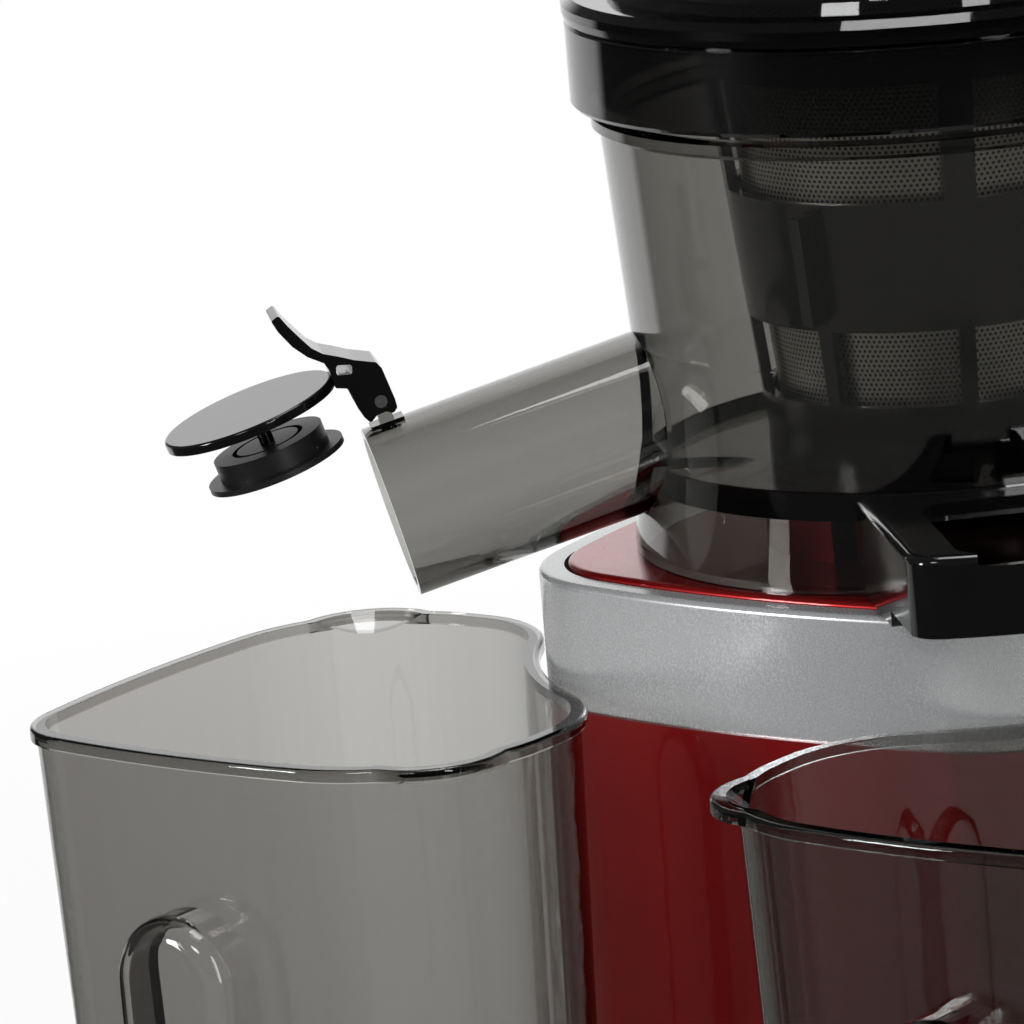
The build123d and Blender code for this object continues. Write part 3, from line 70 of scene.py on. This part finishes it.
def around(middle, share):
    """The ends of a Map Range, as far below the middle as above it."""
    return {"To_Min": middle * (1 - share), "To_Max": middle * (1 + share)}


print("mid grey #808080 is", round(linear("#808080")[0], 3), "in linear light")

# %% Where a material starts and ends
def start(name):
    """A new material with an empty tree: returns it, its tree and the Object coordinates in metres."""
    material = bpy.data.materials.new(name)
    material.use_nodes = True
    tree = material.node_tree
    tree.nodes.clear()
    return material, tree, add(tree, "ShaderNodeTexCoord").outputs["Object"]


def finish_material(material, **ends):
    """Wires the Surface, and a Volume where there is one, to the material's output."""
    add(material.node_tree, "ShaderNodeOutputMaterial", **ends)
    print("material", material.name)
    return material

# %% [markdown]
# ## Clear smoky copolyester
# The bowl and both cups are injection moulded in a clear copolyester with a warm grey dye in the resin.
# Dye sits inside the wall, not on it, so the light lost depends on how far it travels: a thin wall looks
# pale grey, and the bead round the rim, seen along its length, looks almost black. A coloured surface
# can't do that, so the surface is clear and the grey is absorption in the volume. A lamp's light has to
# pass through it too, so for rays from the lamps the skin is simply open, and the dye still takes its share.

# %% Smoky clear plastics
COPOLYESTER_IOR = 1.55
FLOW_MM = 34                           # slow swells that the resin's flow leaves in the wall
POLISH_MM = 9                          # patches of better and worse polish
POLISH_WANDERS = 0.5
WARM_DYE = (0.06, 0.045, 0.0, 1)
LID_DYE = (0.03, 0.02, 0.0, 1)
OPEN_SKIN = (0.94, 0.94, 0.94, 1.0)    # what the open skin passes on of a lamp's light


def smoky(name, dye_colour, dye_per_metre, roughness, ripple_mm):
    material, tree, where = start(name)
    flow = add(tree, "ShaderNodeTexNoise", Vector=where, Scale=scale_of(FLOW_MM), Detail=1.0)
    ripple = add(tree, "ShaderNodeBump", Strength=1.0, Distance=ripple_mm * MM, Height=flow)
    polish = add(tree, "ShaderNodeTexNoise", Vector=where, Scale=scale_of(POLISH_MM), Detail=3.0)
    polished = add(tree, "ShaderNodeMapRange", Value=polish, **around(roughness, POLISH_WANDERS))
    skin = add(tree, "ShaderNodeBsdfPrincipled", Base_Color=(1.0, 1.0, 1.0, 1.0), IOR=COPOLYESTER_IOR,
               Transmission_Weight=1.0, Roughness=polished, Normal=ripple)
    dye = add(tree, "ShaderNodeVolumeAbsorption", Color=dye_colour, Density=dye_per_metre)
    opened = add(tree, "ShaderNodeBsdfTransparent", Color=OPEN_SKIN)
    lamp_rays = add(tree, "ShaderNodeLightPath").outputs["Is Shadow Ray"]
    mixed = add(tree, "ShaderNodeMixShader", _0=lamp_rays, _1=skin, _2=opened)
    return finish_material(material, Surface=mixed, Volume=dye)


SMOKE_CUP = smoky("smoky_copolyester_cup", WARM_DYE, 345, roughness=0.02, ripple_mm=0.10)
SMOKE_BOWL = smoky("smoky_copolyester_bowl", WARM_DYE, 380, roughness=0.02, ripple_mm=0.08)
SMOKE_LID = smoky("dark_smoky_lid", LID_DYE, 900, roughness=0.03, ripple_mm=0.05)

# %% [markdown]
# ## Lacquer and metallic paint
# The shell is ABS with a candy lacquer: aluminium flakes under a deep red, and a clear coat on top. The
# coat gives the sharp reflections, the flakes give the soft glow that follows the light, and the coat's
# faint orange peel keeps the reflections from looking like a mirror's. The shader has a coat of its own,
# so the two layers need no second shell. Real flakes are a few hundredths of a millimetre, too fine to
# show here, so they are drawn some ten times as coarse.

# %% Lacquers
COVER_MM = 60                          # clouds of thicker and thinner colour from the spray gun
COVER_SHARE = {"To_Min": 0.25, "To_Max": 0.75}
FLAKES_WANDER = 0.07
PEEL_MM = 2.2                          # the orange peel's waves
PEEL_DEPTH_MM = 0.004
COAT_ROUGHNESS = 0.04
COAT_IOR = 1.5


def lacquer(name, deep, bright, metallic, roughness, flake_mm, coat):
    material, tree, where = start(name)
    flake = add(tree, "ShaderNodeTexVoronoi", Vector=where, Scale=scale_of(flake_mm))
    sparkle = add(tree, "ShaderNodeSeparateColor", Color=flake.outputs["Color"])
    glitter = add(tree, "ShaderNodeMapRange", Value=sparkle, **around(roughness, FLAKES_WANDER))
    cloud = add(tree, "ShaderNodeTexNoise", Vector=where, Scale=scale_of(COVER_MM), Detail=2.0)
    cover = add(tree, "ShaderNodeMapRange", Value=cloud, **COVER_SHARE)
    tint = add(tree, "ShaderNodeMix", {"data_type": "RGBA"}, _0=cover, _6=linear(deep), _7=linear(bright))
    peel = add(tree, "ShaderNodeTexNoise", Vector=where, Scale=scale_of(PEEL_MM), Detail=2.0)
    wavy = add(tree, "ShaderNodeBump", Strength=1.0, Distance=PEEL_DEPTH_MM * MM, Height=peel)
    skin = add(tree, "ShaderNodeBsdfPrincipled", Base_Color=tint.outputs[2], Metallic=metallic,
               Roughness=glitter, Coat_Weight=coat, Coat_Roughness=COAT_ROUGHNESS, Coat_IOR=COAT_IOR,
               Coat_Normal=wavy)
    return finish_material(material, Surface=skin)


RED_LACQUER = lacquer("candy_red_lacquer_on_abs", "#780103", "#9C0307", metallic=0.7, roughness=0.32,
                      flake_mm=0.4, coat=0.5)
SILVER_PAINT = lacquer("silver_metallic_paint_on_abs", "#B4B6B8", "#C6C8CA", metallic=0.55,
                       roughness=0.27, flake_mm=0.35, coat=0.25)

# %% [markdown]
# ## Moulded plastics and rubbers
# Gloss ABS copies a polished mould, so it is nearly a mirror with a little waviness from sink. Matt ABS
# copies a spark-eroded mould: a fine even grain of about 0.35 mm, which scatters the light. Silicone has
# no polish at all, and the rubber of the feet is duller still. Nylon lets a little light in under its
# skin and looks milky. One function makes them all, with the numbers of each.

# %% Opaque plastics
PLASTIC_IOR = 1.5
SINK_MM = 18                           # patches that shrank more or less as they cooled
SINK_WANDERS = 0.15
INNER_GLOW = (0.002, 0.002, 0.0015)    # metres that red, green and blue light spread under the skin


def moulded(name, colour, light, roughness, grain_mm, depth_mm, subsurface=0.0):
    material, tree, where = start(name)
    sink = add(tree, "ShaderNodeTexNoise", Vector=where, Scale=scale_of(SINK_MM), Detail=3.0)
    tint = add(tree, "ShaderNodeMix", {"data_type": "RGBA"}, _0=sink, _6=linear(colour), _7=linear(light))
    polish = add(tree, "ShaderNodeMapRange", Value=sink, **around(roughness, SINK_WANDERS))
    grain = add(tree, "ShaderNodeTexNoise", Vector=where, Scale=scale_of(grain_mm), Detail=3.0)
    relief = add(tree, "ShaderNodeBump", Strength=1.0, Distance=depth_mm * MM, Height=grain)
    skin = add(tree, "ShaderNodeBsdfPrincipled", Base_Color=tint.outputs[2], IOR=PLASTIC_IOR,
               Roughness=polish, Subsurface_Weight=subsurface, Subsurface_Radius=INNER_GLOW, Normal=relief)
    return finish_material(material, Surface=skin)


GLOSS_BLACK = moulded("gloss_black_abs", "#060606", "#0B0B0C", 0.10, grain_mm=6.0, depth_mm=0.010)
CAGE_BLACK = moulded("gloss_black_cage_resin", "#070707", "#0C0C0C", 0.16, grain_mm=3.0, depth_mm=0.010)
MATT_BLACK = moulded("spark_eroded_black_abs", "#131314", "#1B1B1C", 0.48, grain_mm=0.35, depth_mm=0.02)
SILICONE = moulded("black_silicone", "#0E0E0F", "#171718", 0.42, grain_mm=0.8, depth_mm=0.01)
FOOT_RUBBER = moulded("moulded_rubber_feet", "#161616", "#202020", 0.62, grain_mm=0.5, depth_mm=0.02)
AUGER_RESIN = moulded("dark_polyetherimide_auger", "#17140F", "#211C15", 0.26, grain_mm=2.5, depth_mm=0.015)
NYLON = moulded("natural_nylon_gears", "#D9D3C0", "#E6E1D2", 0.38, grain_mm=1.2, depth_mm=0.01,
                subsurface=0.2)
SLEEVE = moulded("capacitor_sleeve", "#C9CCD0", "#D6D8DA", 0.30, grain_mm=3.0, depth_mm=0.02)

# %% [markdown]
# ## Metals of the drive
# Ground steel keeps the fine rings of the wheel that cut it, so its noise is squeezed along z. Die-cast
# aluminium has the soft orange peel of its mould, the same in every direction. One function makes both,
# because only the stretch and the size of the noise differ.

# %% Plain metals
RINGS = (1, 1, 12)
EVEN = (1, 1, 1)
METAL_WANDERS = 0.3


def metal(name, dull, bright, roughness, stretch, size_mm, depth_mm):
    material, tree, where = start(name)
    stretched = add(tree, "ShaderNodeMapping", Vector=where, Scale=stretch)
    lines = add(tree, "ShaderNodeTexNoise", Vector=stretched, Scale=scale_of(size_mm), Detail=3.0)
    tint = add(tree, "ShaderNodeMix", {"data_type": "RGBA"}, _0=lines, _6=linear(dull), _7=linear(bright))
    gloss = add(tree, "ShaderNodeMapRange", Value=lines, **around(roughness, METAL_WANDERS))
    relief = add(tree, "ShaderNodeBump", Strength=1.0, Distance=depth_mm * MM, Height=lines)
    skin = add(tree, "ShaderNodeBsdfPrincipled", Base_Color=tint.outputs[2], Metallic=1.0,
               Roughness=gloss, Normal=relief)
    return finish_material(material, Surface=skin)


GROUND_STEEL = metal("ground_steel", "#8E9094", "#B9BBBE", 0.24, RINGS, size_mm=0.9, depth_mm=0.004)
CAST_ALUMINIUM = metal("die_cast_aluminium", "#A4A6A8", "#BDBFC1", 0.42, EVEN, size_mm=1.4, depth_mm=0.03)

# %% [markdown]
# ## Sheets and windings of the motor
# The motor's core is a stack of 0.5 mm sheets, and its windings are 0.6 mm enamelled wire. Each sheet or
# turn could be a solid of its own, but hundreds of them would only show as lines, so both get level bands
# at their real spacing instead.

# %% Banded metals
WAVE_REPEATS = 0.314                   # a wave texture of scale 1 repeats after this length
WAVE_WAVERS = 0.3
BANDS_WANDER = 0.2
ALMOST_METAL = 0.9                     # varnish and enamel dull the metal under them


def banded(name, dull, bright, roughness, spacing_mm, depth_mm):
    """Level bands up the z axis: laminations or turns of wire."""
    material, tree, where = start(name)
    wave = add(tree, "ShaderNodeTexWave", {"bands_direction": "Z"}, Vector=where,
               Scale=WAVE_REPEATS / (spacing_mm * MM), Distortion=WAVE_WAVERS)
    bands = wave.outputs["Fac"]
    tint = add(tree, "ShaderNodeMix", {"data_type": "RGBA"}, _0=bands, _6=linear(dull), _7=linear(bright))
    gloss = add(tree, "ShaderNodeMapRange", Value=bands, **around(roughness, BANDS_WANDER))
    relief = add(tree, "ShaderNodeBump", Strength=1.0, Distance=depth_mm * MM, Height=bands)
    skin = add(tree, "ShaderNodeBsdfPrincipled", Base_Color=tint.outputs[2], Metallic=ALMOST_METAL,
               Roughness=gloss, Normal=relief)
    return finish_material(material, Surface=skin)


LAMINATIONS = banded("stacked_electrical_steel", "#4B4D50", "#7F8286", 0.45, spacing_mm=0.5, depth_mm=0.05)
COPPER = banded("enamelled_copper_windings", "#6E2B12", "#C0693A", 0.3, spacing_mm=0.6, depth_mm=0.15)

# %% [markdown]
# ## Perforated strainer sheet
# The strainer is a 0.4 mm stainless sheet, rolled into a slight cone of about 35 mm radius, with staggered
# holes 0.62 mm across, 1.15 mm apart. Cutting thousands of holes into the solid would cost far more than
# they show: through the smoky wall of the bowl only the dots of the pattern are left. So the material
# paints them as near-black dots. The black is painted shade for the dark inside the strainer, and also the
# dark resin of the auger behind it. It places the dots by how far round the axis a point is, and how high.
# Every second row is shifted by half a step, as the punch does it.

# %% Perforated sheet
AXIS_Y = (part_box("drive_shaft")[0].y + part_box("drive_shaft")[1].y) / 2
HOLE_EDGE_MM = 0.04                    # half the width of a hole's soft edge
HOLE_DEPTH_MM = 0.2
# the holes' colour is painted shade: it stands in for the dark inside the strainer and the auger's dark
# resin that real holes would show
HOLE_SHADE_AND_AUGER, SHEET_GREY = "#050505", "#A5A39C"
SHEET_POLISH_MM = 1.5
SHEET_ROUGHNESS = {"To_Min": 0.28, "To_Max": 0.42}
WHOLE_STEPS = 200.0                    # keeps the count of steps above 0 all round
HALF_STEP = 0.5                        # the shift of odd rows, and where a cell has its middle


def perforated(name, pitch_mm, hole_mm, radius_mm):
    material, tree, where = start(name)
    centred = add(tree, "ShaderNodeMapping", Vector=where, Location=(0, -AXIS_Y, 0))
    x, y, z = add(tree, "ShaderNodeSeparateXYZ", Vector=centred).outputs
    row_mm = pitch_mm * math.sqrt(3) / 2
    steps = round(2 * math.pi * radius_mm / pitch_mm)
    row = add(tree, "ShaderNodeMath", {"operation": "MULTIPLY"}, _0=z, _1=scale_of(row_mm))
    whole_row = add(tree, "ShaderNodeMath", {"operation": "FLOOR"}, _0=row)
    odd = add(tree, "ShaderNodeMath", {"operation": "MODULO"}, _0=whole_row, _1=2.0)
    shift = add(tree, "ShaderNodeMath", {"operation": "MULTIPLY"}, _0=odd, _1=HALF_STEP)
    turn = add(tree, "ShaderNodeMath", {"operation": "ARCTAN2"}, _0=y, _1=x)
    step = add(tree, "ShaderNodeMath", {"operation": "MULTIPLY"}, _0=turn, _1=steps / (2 * math.pi))
    shifted = add(tree, "ShaderNodeMath", {"operation": "ADD"}, _0=step, _1=shift)
    along = add(tree, "ShaderNodeMath", {"operation": "ADD"}, _0=shifted, _1=WHOLE_STEPS)
    squares = []
    for count, size_mm in ((along, pitch_mm), (row, row_mm)):
        in_cell = add(tree, "ShaderNodeMath", {"operation": "FRACT"}, _0=count)
        off_middle = add(tree, "ShaderNodeMath", {"operation": "SUBTRACT"}, _0=in_cell, _1=HALF_STEP)
        off_mm = add(tree, "ShaderNodeMath", {"operation": "MULTIPLY"}, _0=off_middle, _1=size_mm)
        squares.append(add(tree, "ShaderNodeMath", {"operation": "POWER"}, _0=off_mm, _1=2.0))
    square = add(tree, "ShaderNodeMath", {"operation": "ADD"}, _0=squares[0], _1=squares[1])
    reach = add(tree, "ShaderNodeMath", {"operation": "SQRT"}, _0=square)
    sheet = add(tree, "ShaderNodeMapRange", Value=reach, From_Min=hole_mm / 2 - HOLE_EDGE_MM,
                From_Max=hole_mm / 2 + HOLE_EDGE_MM)
    tint = add(tree, "ShaderNodeMix", {"data_type": "RGBA"}, _0=sheet, _6=linear(HOLE_SHADE_AND_AUGER),
               _7=linear(SHEET_GREY))
    polish = add(tree, "ShaderNodeTexNoise", Vector=where, Scale=scale_of(SHEET_POLISH_MM), Detail=2.0)
    gloss = add(tree, "ShaderNodeMapRange", Value=polish, **SHEET_ROUGHNESS)
    relief = add(tree, "ShaderNodeBump", Strength=1.0, Distance=HOLE_DEPTH_MM * MM, Height=sheet)
    skin = add(tree, "ShaderNodeBsdfPrincipled", Base_Color=tint.outputs[2], Metallic=sheet,
               Roughness=gloss, Normal=relief)
    return finish_material(material, Surface=skin)


MESH_STEEL = perforated("perforated_stainless", pitch_mm=1.15, hole_mm=0.62, radius_mm=35.0)
print("drive axis at y", round(AXIS_Y, 5))

# %% [markdown]
# ## Circuit board
# Glass-fibre board is green solder mask over copper: the tracks stand out as slightly lighter lines that
# keep to a grid of 2.54 mm. A brick texture draws such lines by itself, once it is turned to face the
# board.

# %% Circuit board
GRID_MM = 2.54
TRACK_MM = 0.25
MASK_DEPTH_MM = 0.05
MASK_ROUGHNESS = 0.3


def circuit_board():
    material, tree, where = start("solder_masked_board")
    turned = add(tree, "ShaderNodeMapping", Vector=where, Rotation=(math.pi / 2, 0, 0))
    tracks = add(tree, "ShaderNodeTexBrick", Vector=turned, Color1=linear("#0E4A22"),
                 Color2=linear("#125A2A"), Mortar=linear("#2C7A44"), Scale=1.0, Mortar_Size=TRACK_MM * MM,
                 Brick_Width=2 * GRID_MM * MM, Row_Height=GRID_MM * MM)
    relief = add(tree, "ShaderNodeBump", Strength=1.0, Distance=MASK_DEPTH_MM * MM,
                 Height=tracks.outputs["Fac"])
    skin = add(tree, "ShaderNodeBsdfPrincipled", Base_Color=tracks, Roughness=MASK_ROUGHNESS,
               IOR=PLASTIC_IOR, Normal=relief)
    return finish_material(material, Surface=skin)


BOARD = circuit_board()

# %% [markdown]
# ## Dress every solid
# The table below says which real finish each solid has. A solid that arrived with one slot keeps it, and
# only the material in it changes.

# %% Materials on the solids
FINISHES = {
    RED_LACQUER: ["base_shell", "deck_panel"],
    SILVER_PAINT: ["silver_band"],
    SMOKE_CUP: ["juice_jug", "pulp_container"],
    SMOKE_BOWL: ["juice_bowl"],
    SMOKE_LID: ["lid"],
    GLOSS_BLACK: ["pulp_chute", "smart_cap", "switch_bezel", "hopper_tray", "pusher"],
    CAGE_BLACK: ["brush_cage", "strainer_frame"],
    MATT_BLACK: ["bottom_cover", "cord_gland", "rocker_switch", "cooling_fan"],
    SILICONE: ["cap_plug", "wiper_blades", "hub_seal", "pulp_seal", "deck_seal"],
    FOOT_RUBBER: ["rubber_feet"],
    AUGER_RESIN: ["auger"],
    NYLON: ["idler_gear", "layshaft_wheel", "output_wheel"],
    SLEEVE: ["run_capacitor"],
    GROUND_STEEL: ["cover_screws", "gearbox_screws", "rotor_shaft", "motor_pinion", "layshaft_pinion",
                   "layshaft_axle", "drive_shaft", "drive_bearings", "motor_bearings", "auger_socket",
                   "cap_pin"],
    CAST_ALUMINIUM: ["motor_can", "gearbox_case", "gearbox_lid"],
    LAMINATIONS: ["stator_core", "rotor_core"],
    COPPER: ["stator_windings"],
    MESH_STEEL: ["strainer_mesh"],
    BOARD: ["control_board"],
}
dressed = set()
for finish_of, names in FINISHES.items():
    for name in names:
        for slot in NODES[name].material_slots:
            slot.material = finish_of
        dressed.add(name)
print("dressed", len(dressed), "left plain", sorted(set(NODES) - dressed))

# %% [markdown]
# ## The studio
# A white sweep stands behind the object in an otherwise dark room, with a low key lamp on the left, a tall
# strip on the right, one lamp in front and one above. The sweep is white to the eye and through glass, and
# in mirrors only on the side where it stands: gloss black and clear plastic get their drawing from that
# edge between white and dark. The floor and the world light the object at a plain level, so that colours
# come out as they are written, and the floor keeps the object's shadow.

# %% Where the sweep stands
SWEEP_FROM_HERE = (-0.62, 0.78, 0.0)


def sweep_share(tree, towards, dark_from, white_from):
    """How much of the sweep lies in a direction: 1 straight behind the object, 0 beyond its sides.
    Both limits are about the cosine of the angle from the sweep's middle."""
    level = add(tree, "ShaderNodeVectorMath", {"operation": "MULTIPLY"}, _0=towards, _1=(1, 1, 0))
    flat = add(tree, "ShaderNodeVectorMath", {"operation": "NORMALIZE"}, _0=level)
    along = add(tree, "ShaderNodeVectorMath", {"operation": "DOT_PRODUCT"}, _0=flat, _1=SWEEP_FROM_HERE)
    return add(tree, "ShaderNodeMapRange", {"interpolation_type": "SMOOTHSTEP"},
               Value=along.outputs["Value"], From_Min=dark_from, From_Max=white_from)


def shown_white(tree, rays):
    """1 for the eye and for what is seen through clear plastic."""
    return add(tree, "ShaderNodeMath", {"operation": "MAXIMUM"}, _0=rays["Is Camera Ray"],
               _1=rays["Is Transmission Ray"])


print("sweep stands towards", SWEEP_FROM_HERE)

# %% [markdown]
# ## Floor
# A studio's floor is white paper that runs up into the sweep. Plain paper would need strong lamps to look
# white, and they would bleach the object. So the paper glows where it is looked at, straight or through
# clear plastic, and sheds none of that glow on the object as plain light. Near the object a part of it
# stays real paper, which catches the shadow. In mirrors it is nearly black, apart from the side of the
# sweep.

# %% Floor
FLOOR_SWEEP = (0.60, 0.70)
SHADOW_FADES = (0.25, 0.75)            # metres out, between which the paper turns into pure glow
GLOW_BY_OBJECT = 0.8
PAPER = (0.85, 0.85, 0.85, 1)
PAPER_IN_MIRRORS = (0.05, 0.05, 0.05, 1)
FLOOR_HALF = 30.0


def sweep_paper():
    material, tree, where = start("white_sweep")
    rays = add(tree, "ShaderNodeLightPath").outputs
    mirrored = add(tree, "ShaderNodeMath", {"operation": "MULTIPLY"},
                   _0=sweep_share(tree, where, *FLOOR_SWEEP), _1=rays["Is Glossy Ray"])
    seen = add(tree, "ShaderNodeMath", {"operation": "MAXIMUM"}, _0=shown_white(tree, rays), _1=mirrored)
    distance = add(tree, "ShaderNodeVectorMath", {"operation": "LENGTH"}, _0=where)
    far = add(tree, "ShaderNodeMapRange", Value=distance.outputs["Value"], From_Min=SHADOW_FADES[0],
              From_Max=SHADOW_FADES[1], To_Min=GLOW_BY_OBJECT, To_Max=1.0)
    share = add(tree, "ShaderNodeMath", {"operation": "MULTIPLY"}, _0=seen, _1=far)
    shade = add(tree, "ShaderNodeMix", {"data_type": "RGBA"}, _0=rays["Is Glossy Ray"], _6=PAPER,
                _7=PAPER_IN_MIRRORS)
    paper = add(tree, "ShaderNodeBsdfDiffuse", Color=shade.outputs[2])
    glow = add(tree, "ShaderNodeEmission", Color=(1, 1, 1, 1), Strength=1.0)
    mixed = add(tree, "ShaderNodeMixShader", _0=share, _1=paper, _2=glow)
    return finish_material(material, Surface=mixed)


def white_floor():
    mesh = bpy.data.meshes.new("studio_floor")
    made = bmesh.new()
    bmesh.ops.create_grid(made, x_segments=1, y_segments=1, size=FLOOR_HALF)
    made.to_mesh(mesh)
    made.free()
    floor = bpy.data.objects.new("studio_floor", mesh)
    bpy.context.scene.collection.objects.link(floor)
    floor.data.materials.append(sweep_paper())
    print("floor", 2 * FLOOR_HALF, "m wide")


white_floor()

# %% [markdown]
# ## World
# The world stands for the walls of the room. To the eye it is white, and as light on the object it is a
# plain even grey. In mirrors it is the dark room with the sweep in it, a little brighter than white.

# %% World
WALL_SWEEP = (0.90, 0.975)
ROOM_IN_MIRRORS = 0.10
SWEEP_IN_MIRRORS = 1.25
PLAIN_LIGHT = 0.55


def white_world():
    world = bpy.data.worlds.new("studio")
    world.use_nodes = True
    tree = world.node_tree
    tree.nodes.clear()
    rays = add(tree, "ShaderNodeLightPath").outputs
    towards = add(tree, "ShaderNodeTexCoord").outputs["Generated"]
    mirrored = add(tree, "ShaderNodeMapRange", Value=sweep_share(tree, towards, *WALL_SWEEP),
                   To_Min=ROOM_IN_MIRRORS, To_Max=SWEEP_IN_MIRRORS)
    plain = add(tree, "ShaderNodeMapRange", Value=shown_white(tree, rays), To_Min=PLAIN_LIGHT, To_Max=1.0)
    strength = add(tree, "ShaderNodeMix", _0=rays["Is Glossy Ray"], _2=plain, _3=mirrored)
    back = add(tree, "ShaderNodeBackground", Color=(1, 1, 1, 1), Strength=strength)
    add(tree, "ShaderNodeOutputWorld", Surface=back)
    bpy.context.scene.world = world
    print("world", world.name)


white_world()

# %% [markdown]
# ## Lamps
# Large soft lamps would wash out black plastic, so these are small: each draws a thin bright line along
# the rounded edges that face it.

# %% Lamps
def softbox(name, place, target, width, height, watts):
    data = bpy.data.lights.new(name, "AREA")
    data.shape = "RECTANGLE"
    data.size = width
    data.size_y = height
    data.energy = watts
    lamp = bpy.data.objects.new(name, data)
    bpy.context.scene.collection.objects.link(lamp)
    lamp.location = place
    lamp.rotation_euler = (Vector(target) - Vector(place)).to_track_quat("-Z", "Y").to_euler()
    print("lamp", name, watts, "W")


softbox("key_left", (-1.0, -1.6, 0.45), (0, 0, 0.15), width=0.3, height=0.5, watts=13)
softbox("strip_right", (1.3, -0.7, 0.7), (0, 0, 0.2), width=0.25, height=1.2, watts=7)
softbox("front", (0.2, -1.9, 1.5), (0, 0, 0.15), width=0.5, height=0.35, watts=6)
softbox("top", (0.1, 0.0, 1.6), (0, 0, 0.2), width=0.7, height=0.5, watts=7)

# %% [markdown]
# ## Camera
# A long lens keeps the upright edges almost parallel. The camera looks down a little and is rolled by a
# few degrees, and it is placed from the drive axis, which the whole machine is built round.

# %% Camera
SENSOR_MM = 36.0
LENS_MM = 246.1
EYE_FROM_AXIS = (0.7965, -1.1439, 0.4877)
LOOK = (-0.6073, 0.7635, -0.2197)
ROLL = -0.08615
NEAREST, FARTHEST = 0.05, 200


def portrait_camera():
    data = bpy.data.cameras.new("portrait")
    data.sensor_width = SENSOR_MM
    data.lens = LENS_MM
    data.clip_start = NEAREST
    data.clip_end = FARTHEST
    camera = bpy.data.objects.new("portrait", data)
    bpy.context.scene.collection.objects.link(camera)
    x, y, z = EYE_FROM_AXIS
    camera.location = (x, y + AXIS_Y, z)
    camera.rotation_mode = "QUATERNION"
    camera.rotation_quaternion = Vector(LOOK).to_track_quat("-Z", "Y") @ Quaternion((0, 0, 1), ROLL)
    bpy.context.scene.camera = camera
    print("camera at", [round(v, 4) for v in camera.location], "rolled", round(math.degrees(ROLL), 1))


portrait_camera()
bpy.context.scene.view_settings.view_transform = "Standard"
